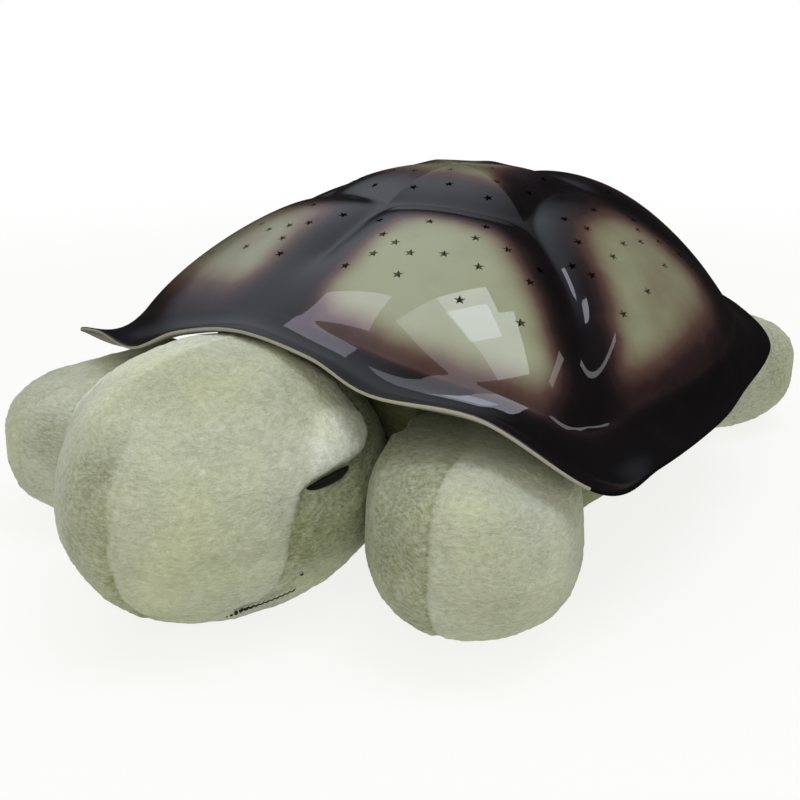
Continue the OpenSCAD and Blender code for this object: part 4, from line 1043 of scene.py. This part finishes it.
def buildBody():
    # bowl-shaped cushion round the lamp housing, its hem tucked up under the shell
    s = bodySettings
    n = s["columns"]
    turn = np.linspace(0, 360, n, endpoint=False)
    a = np.radians(turn)
    x = s["width"] / 2 * bend(np.sin(a), s["power"])
    y = -np.where(np.cos(a) > 0, s["front"], s["rear"]) * bend(np.cos(a), s["power"])
    crease = loopPoint(creaseKeys, turn)[:, 2]
    loops = [(x * across, y * along, np.full(n, z)) for across, along, z in s["profile"]]
    loops += [(x * share, y * share, crease - drop) for share, drop in s["hem"]]
    keys, m = np.array([np.column_stack(loop) for loop in loops]), s["rows"]
    t = np.linspace(0, len(keys) - 1, m)
    i = np.minimum(t.astype(int), len(keys) - 2)
    before, after = np.maximum(i - 1, 0), np.minimum(i + 2, len(keys) - 1)
    rows = smoothCurve(keys[before], keys[i], keys[i + 1], keys[after], (t - i)[:, None, None])
    skin = rows.reshape(-1, 3)
    faces = tubeFaces(m, n)
    rise = pileHeight(skin, 21) - s["seamDepth"] * hump(np.abs(skin[:, 2] - s["floorSeam"]), 1.4)
    rise *= smoothStep(0.5, 4, skin[:, 2])
    skin = settle(skin + meshNormals(skin, np.array(faces[:-2])) * rise[:, None], 0.5)
    # closed over the top by a fan, which the hollows take out again
    points = np.vstack([skin, s["apex"]])
    faces[-1:] = [((m - 1) * n + i, (m - 1) * n + (i + 1) % n, m * n) for i in range(n)]
    body = makeMesh("stuffed_body_cushion", points * mm, faces, [finishes["shadedBodyPlush"]])
    cutters = [prism([(cx + a * math.cos(v), cy + b * math.sin(v)) for v in around(96)], low, high)
               for cx, cy, a, b, low, high in s["hollows"]]
    cutters += [prism([(right, rear), (left, rear), (left, front), (right, front)], low, high)
                for left, right, front, rear, low, high in s["recesses"]]
    for block, faces in cutters:
        cutAway(body, block, faces, finishes["shadedBodyPlush"])
    mesh = body.data
    mesh.set_sharp_from_angle(angle=math.radians(s["sharp"]))
    place = readVectors(mesh.vertices, "co") / mm
    setNumbers(body, "nap", 0.35 + 0.3 * noise(place / 30, 22))
    setNumbers(body, "seam", 0.5 * hump(place[:, 2] - s["floorSeam"], 1.0))
    return body


flapSettings = {"half": 37.7, "front": 2.5, "rear": 60, "low": 0.4, "thick": 2.4, "corner": 5, "edge": 1.2,
                "hem": 3, "columns": 84, "rows": 64}


def buildFlap():
    # two layers of plush sewn edge to edge, with a line of stitches inside the hem
    s = flapSettings
    u = np.sin(np.linspace(-math.pi / 2, math.pi / 2, s["columns"]))
    v = np.sin(np.linspace(-math.pi / 2, math.pi / 2, s["rows"]))
    half, long = s["half"], (s["rear"] - s["front"]) / 2
    x, y = [g.ravel() for g in np.meshgrid(u * half, v * long, indexing="ij")]
    inset = np.minimum(half - np.abs(x), long - np.abs(y))
    r = s["corner"]
    cx, cy = [np.sign(v) * np.maximum(0, np.abs(v) - size + r) for v, size in ((x, half), (y, long))]
    far, reach = np.hypot(cx, cy), np.maximum(np.abs(cx), np.abs(cy))
    pull = np.where((cx != 0) & (cy != 0), reach / np.maximum(far, 1e-6), 1)
    x, y = x - cx * (1 - pull), y - cy * (1 - pull)
    puff = np.sqrt(1 - (1 - np.clip(inset / s["edge"], 0, 1)) ** 2) * s["thick"] / 2
    puff -= 0.5 * hump(inset - s["hem"], 0.6)
    nap = noise(np.column_stack([x, y, 0 * x]) / 1.6, 24) * 0.15 * smoothStep(0, 1, inset)
    middle = s["low"] + s["thick"] / 2
    where = y + (s["front"] + s["rear"]) / 2
    top = np.column_stack([x, where, middle + puff - 0.15 + nap])
    bottom = np.column_stack([x, where, middle - puff + 0.15 + nap])
    rim = inset < 1e-6
    top[rim, 2] = bottom[rim, 2] = middle
    n, count = s["rows"], len(x)
    lower = np.where(rim, np.arange(count), 0)
    lower[~rim] = count + np.arange((~rim).sum())
    faces = []
    for i in range(s["columns"] - 1):
        for j in range(n - 1):
            quad = (i * n + j, (i + 1) * n + j, (i + 1) * n + j + 1, i * n + j + 1)
            faces += [quad, tuple(int(lower[k]) for k in reversed(quad))]
    points = np.vstack([top, bottom[~rim]])
    flap = makeMesh("quilted_belly_flap", points * mm, faces, [finishes["shadedBodyPlush"]])
    allInset = np.concatenate([inset, inset[~rim]])
    setNumbers(flap, "nap", np.full(len(points), 0.4))
    setNumbers(flap, "seam", 0.8 * hump(allInset - s["hem"], 0.5))
    return flap


buttonSettings = {
    "places": {"power": -19.5, "blue": -6.5, "green": 6.5, "amber": 19.5},
    "stem": (2, -9), "lip": (5.4, -7.5, -6.3), "cap": (4.4, 1.5), "fillet": 0.8, "dish": 0.35, "around": 64,
}


def buildButton(name, x):
    # turned cap with a rounded rim and a slightly dished top, on its lip and stem
    s = buttonSettings
    (stem, foot), (lip, low, high), (cap, top), f = s["stem"], s["lip"], s["cap"], s["fillet"]
    profile = [(stem, foot), (stem, low), (lip - 0.2, low), (lip, low + 0.2), (lip, high - 0.2),
               (lip - 0.2, high), (cap, high)]
    quarter = np.linspace(0, math.pi / 2, 8)
    profile += [(cap - f * (1 - math.cos(a)), top - f * (1 - math.sin(a))) for a in quarter]
    profile += [(r, top - s["dish"] * (1 - (r / (cap - f)) ** 2)) for r in np.linspace(cap - f, 0.4, 9)[1:]]
    points = [(x + r * math.cos(a), r * math.sin(a), z) for r, z in profile for a in around(s["around"])]
    faces = tubeFaces(len(profile), s["around"])
    button = makeMesh(name + "_button_cap", onPanel(points) * mm, faces, [finishes[name + "Button"]])
    button.data.set_sharp_from_angle(angle=math.radians(40))
    return button


def headDome(side, up, off):
    # points on the head's form, before its turn and place, raised by off
    p = headForm(wayOf(side, up))
    return p + headOut(p) * np.reshape(off, (-1, 1))


def buildEye(name, sign):
    # eye set in the cheek, nearly closed under the front panel's edge
    s = eyeSettings
    rings, n = s["rings"], s["around"]
    points, a = [], around(n)
    for j in range(rings + 1):
        k = 1 - j / rings
        tall = np.where(np.sin(a) > 0, s["above"], s["below"]) * np.sin(a) + s["tilt"] * np.cos(a)
        points.append(headDome(s["side"] + k * s["length"] * np.cos(a), s["up"] + k * tall,
                               (s["sunk"] + s["rise"]) * math.sqrt(1 - k * k) - s["sunk"]))
    faces = tubeFaces(rings + 1, n)[:-1]
    if sign < 0:
        faces = [face[::-1] for face in faces]
    return makeMesh(name, headPlace(np.concatenate(points) * (sign, 1, 1)) * mm, faces, [finishes["eye"]])


mouthSettings = {"sides": (0, 30, 42, 49, 59, 68), "ups": (-60, -58, -47, -37, -34.5, -32), "stitches": 74,
                 "length": 2.2, "thread": 0.21, "heavy": 48, "heavier": 1.5, "slant": 0.55, "drawn": 1.4,
                 "knots": [(-69, -22), (69, -22)], "rings": 7, "around": 8}


def buildMouth():
    # slanting satin stitches along the mouth, and a knot beside each corner
    s = mouthSettings
    side = np.linspace(-s["sides"][-1], s["sides"][-1], s["stitches"])
    up = np.interp(np.abs(side), s["sides"], s["ups"])
    side, up = np.vstack([np.column_stack([side, up]), s["knots"]]).T
    # the middle is drawn down into the pile
    spots = headDome(side, up, 0.35 - s["drawn"] * (1 - smoothStep(40, 49, np.abs(side))))
    ahead = unit(np.gradient(spots[:-2], axis=0))
    ahead = np.vstack([ahead, ahead[[0, -1]]])
    out = headOut(spots)
    points, faces = [], []
    for number, (c, t, o, x) in enumerate(zip(spots, ahead, out, np.cross(out, ahead))):
        knot = number >= s["stitches"]
        way = unit(t + s["slant"] * x)
        aside = unit(np.cross(way, o))
        half, thread = s["length"] / (3.4 if knot else 2), s["thread"] * (1.6 if knot else 1)
        faces += tubeFaces(s["rings"], s["around"], len(points))
        for f in np.linspace(-1, 1, s["rings"]):
            centre = c + way * f * half + o * 0.35 * (1 - f * f)
            fat = thread * math.sqrt(max(0.04, 1 - f ** 4))
            fat *= 1 + s["heavier"] * hump(abs(side[number]) - s["heavy"], 6)
            points += [centre + fat * (math.cos(b) * o + math.sin(b) * aside) for b in around(s["around"])]
    return makeMesh("mouth_embroidery", headPlace(np.array(points)) * mm, faces, [finishes["thread"]])


def dress(piece, body, replaced):
    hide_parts(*replaced)
    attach(piece, body)


skin, skinPoints, skinFaces, skinShade, skinBrim = buildShell(finishes["shell"], finishes["shellBare"])
cutShell(skin, finishes["shellBare"], finishes["starHoleShade"], skinPoints, skinFaces, skinShade, skinBrim)
dress(skin, "stuffed_body", ["shell"])
print("shell ready:", len(skin.data.polygons), "faces")

dress(buildHead(), "stuffed_body", ["head"])
dress(buildEye("left_glossy_eye", 1), "stuffed_body", ["left_eye"])
dress(buildEye("right_glossy_eye", -1), "stuffed_body", ["right_eye"])
dress(buildMouth(), "stuffed_body", ["mouth_stitching"])
print("head ready")
for name, settings in limbSettings.items():
    dress(buildLimb(name, settings), name, [name])
dress(buildTail(), "tail", ["tail"])
print("limbs ready")
dress(buildBody(), "stuffed_body", ["body_cushion"])
dress(buildFlap(), "belly_flap", ["belly_flap"])
for name, x in buttonSettings["places"].items():
    dress(buildButton(name, x), name + "_button", [name + "_button"])
print("body, flap and buttons ready")
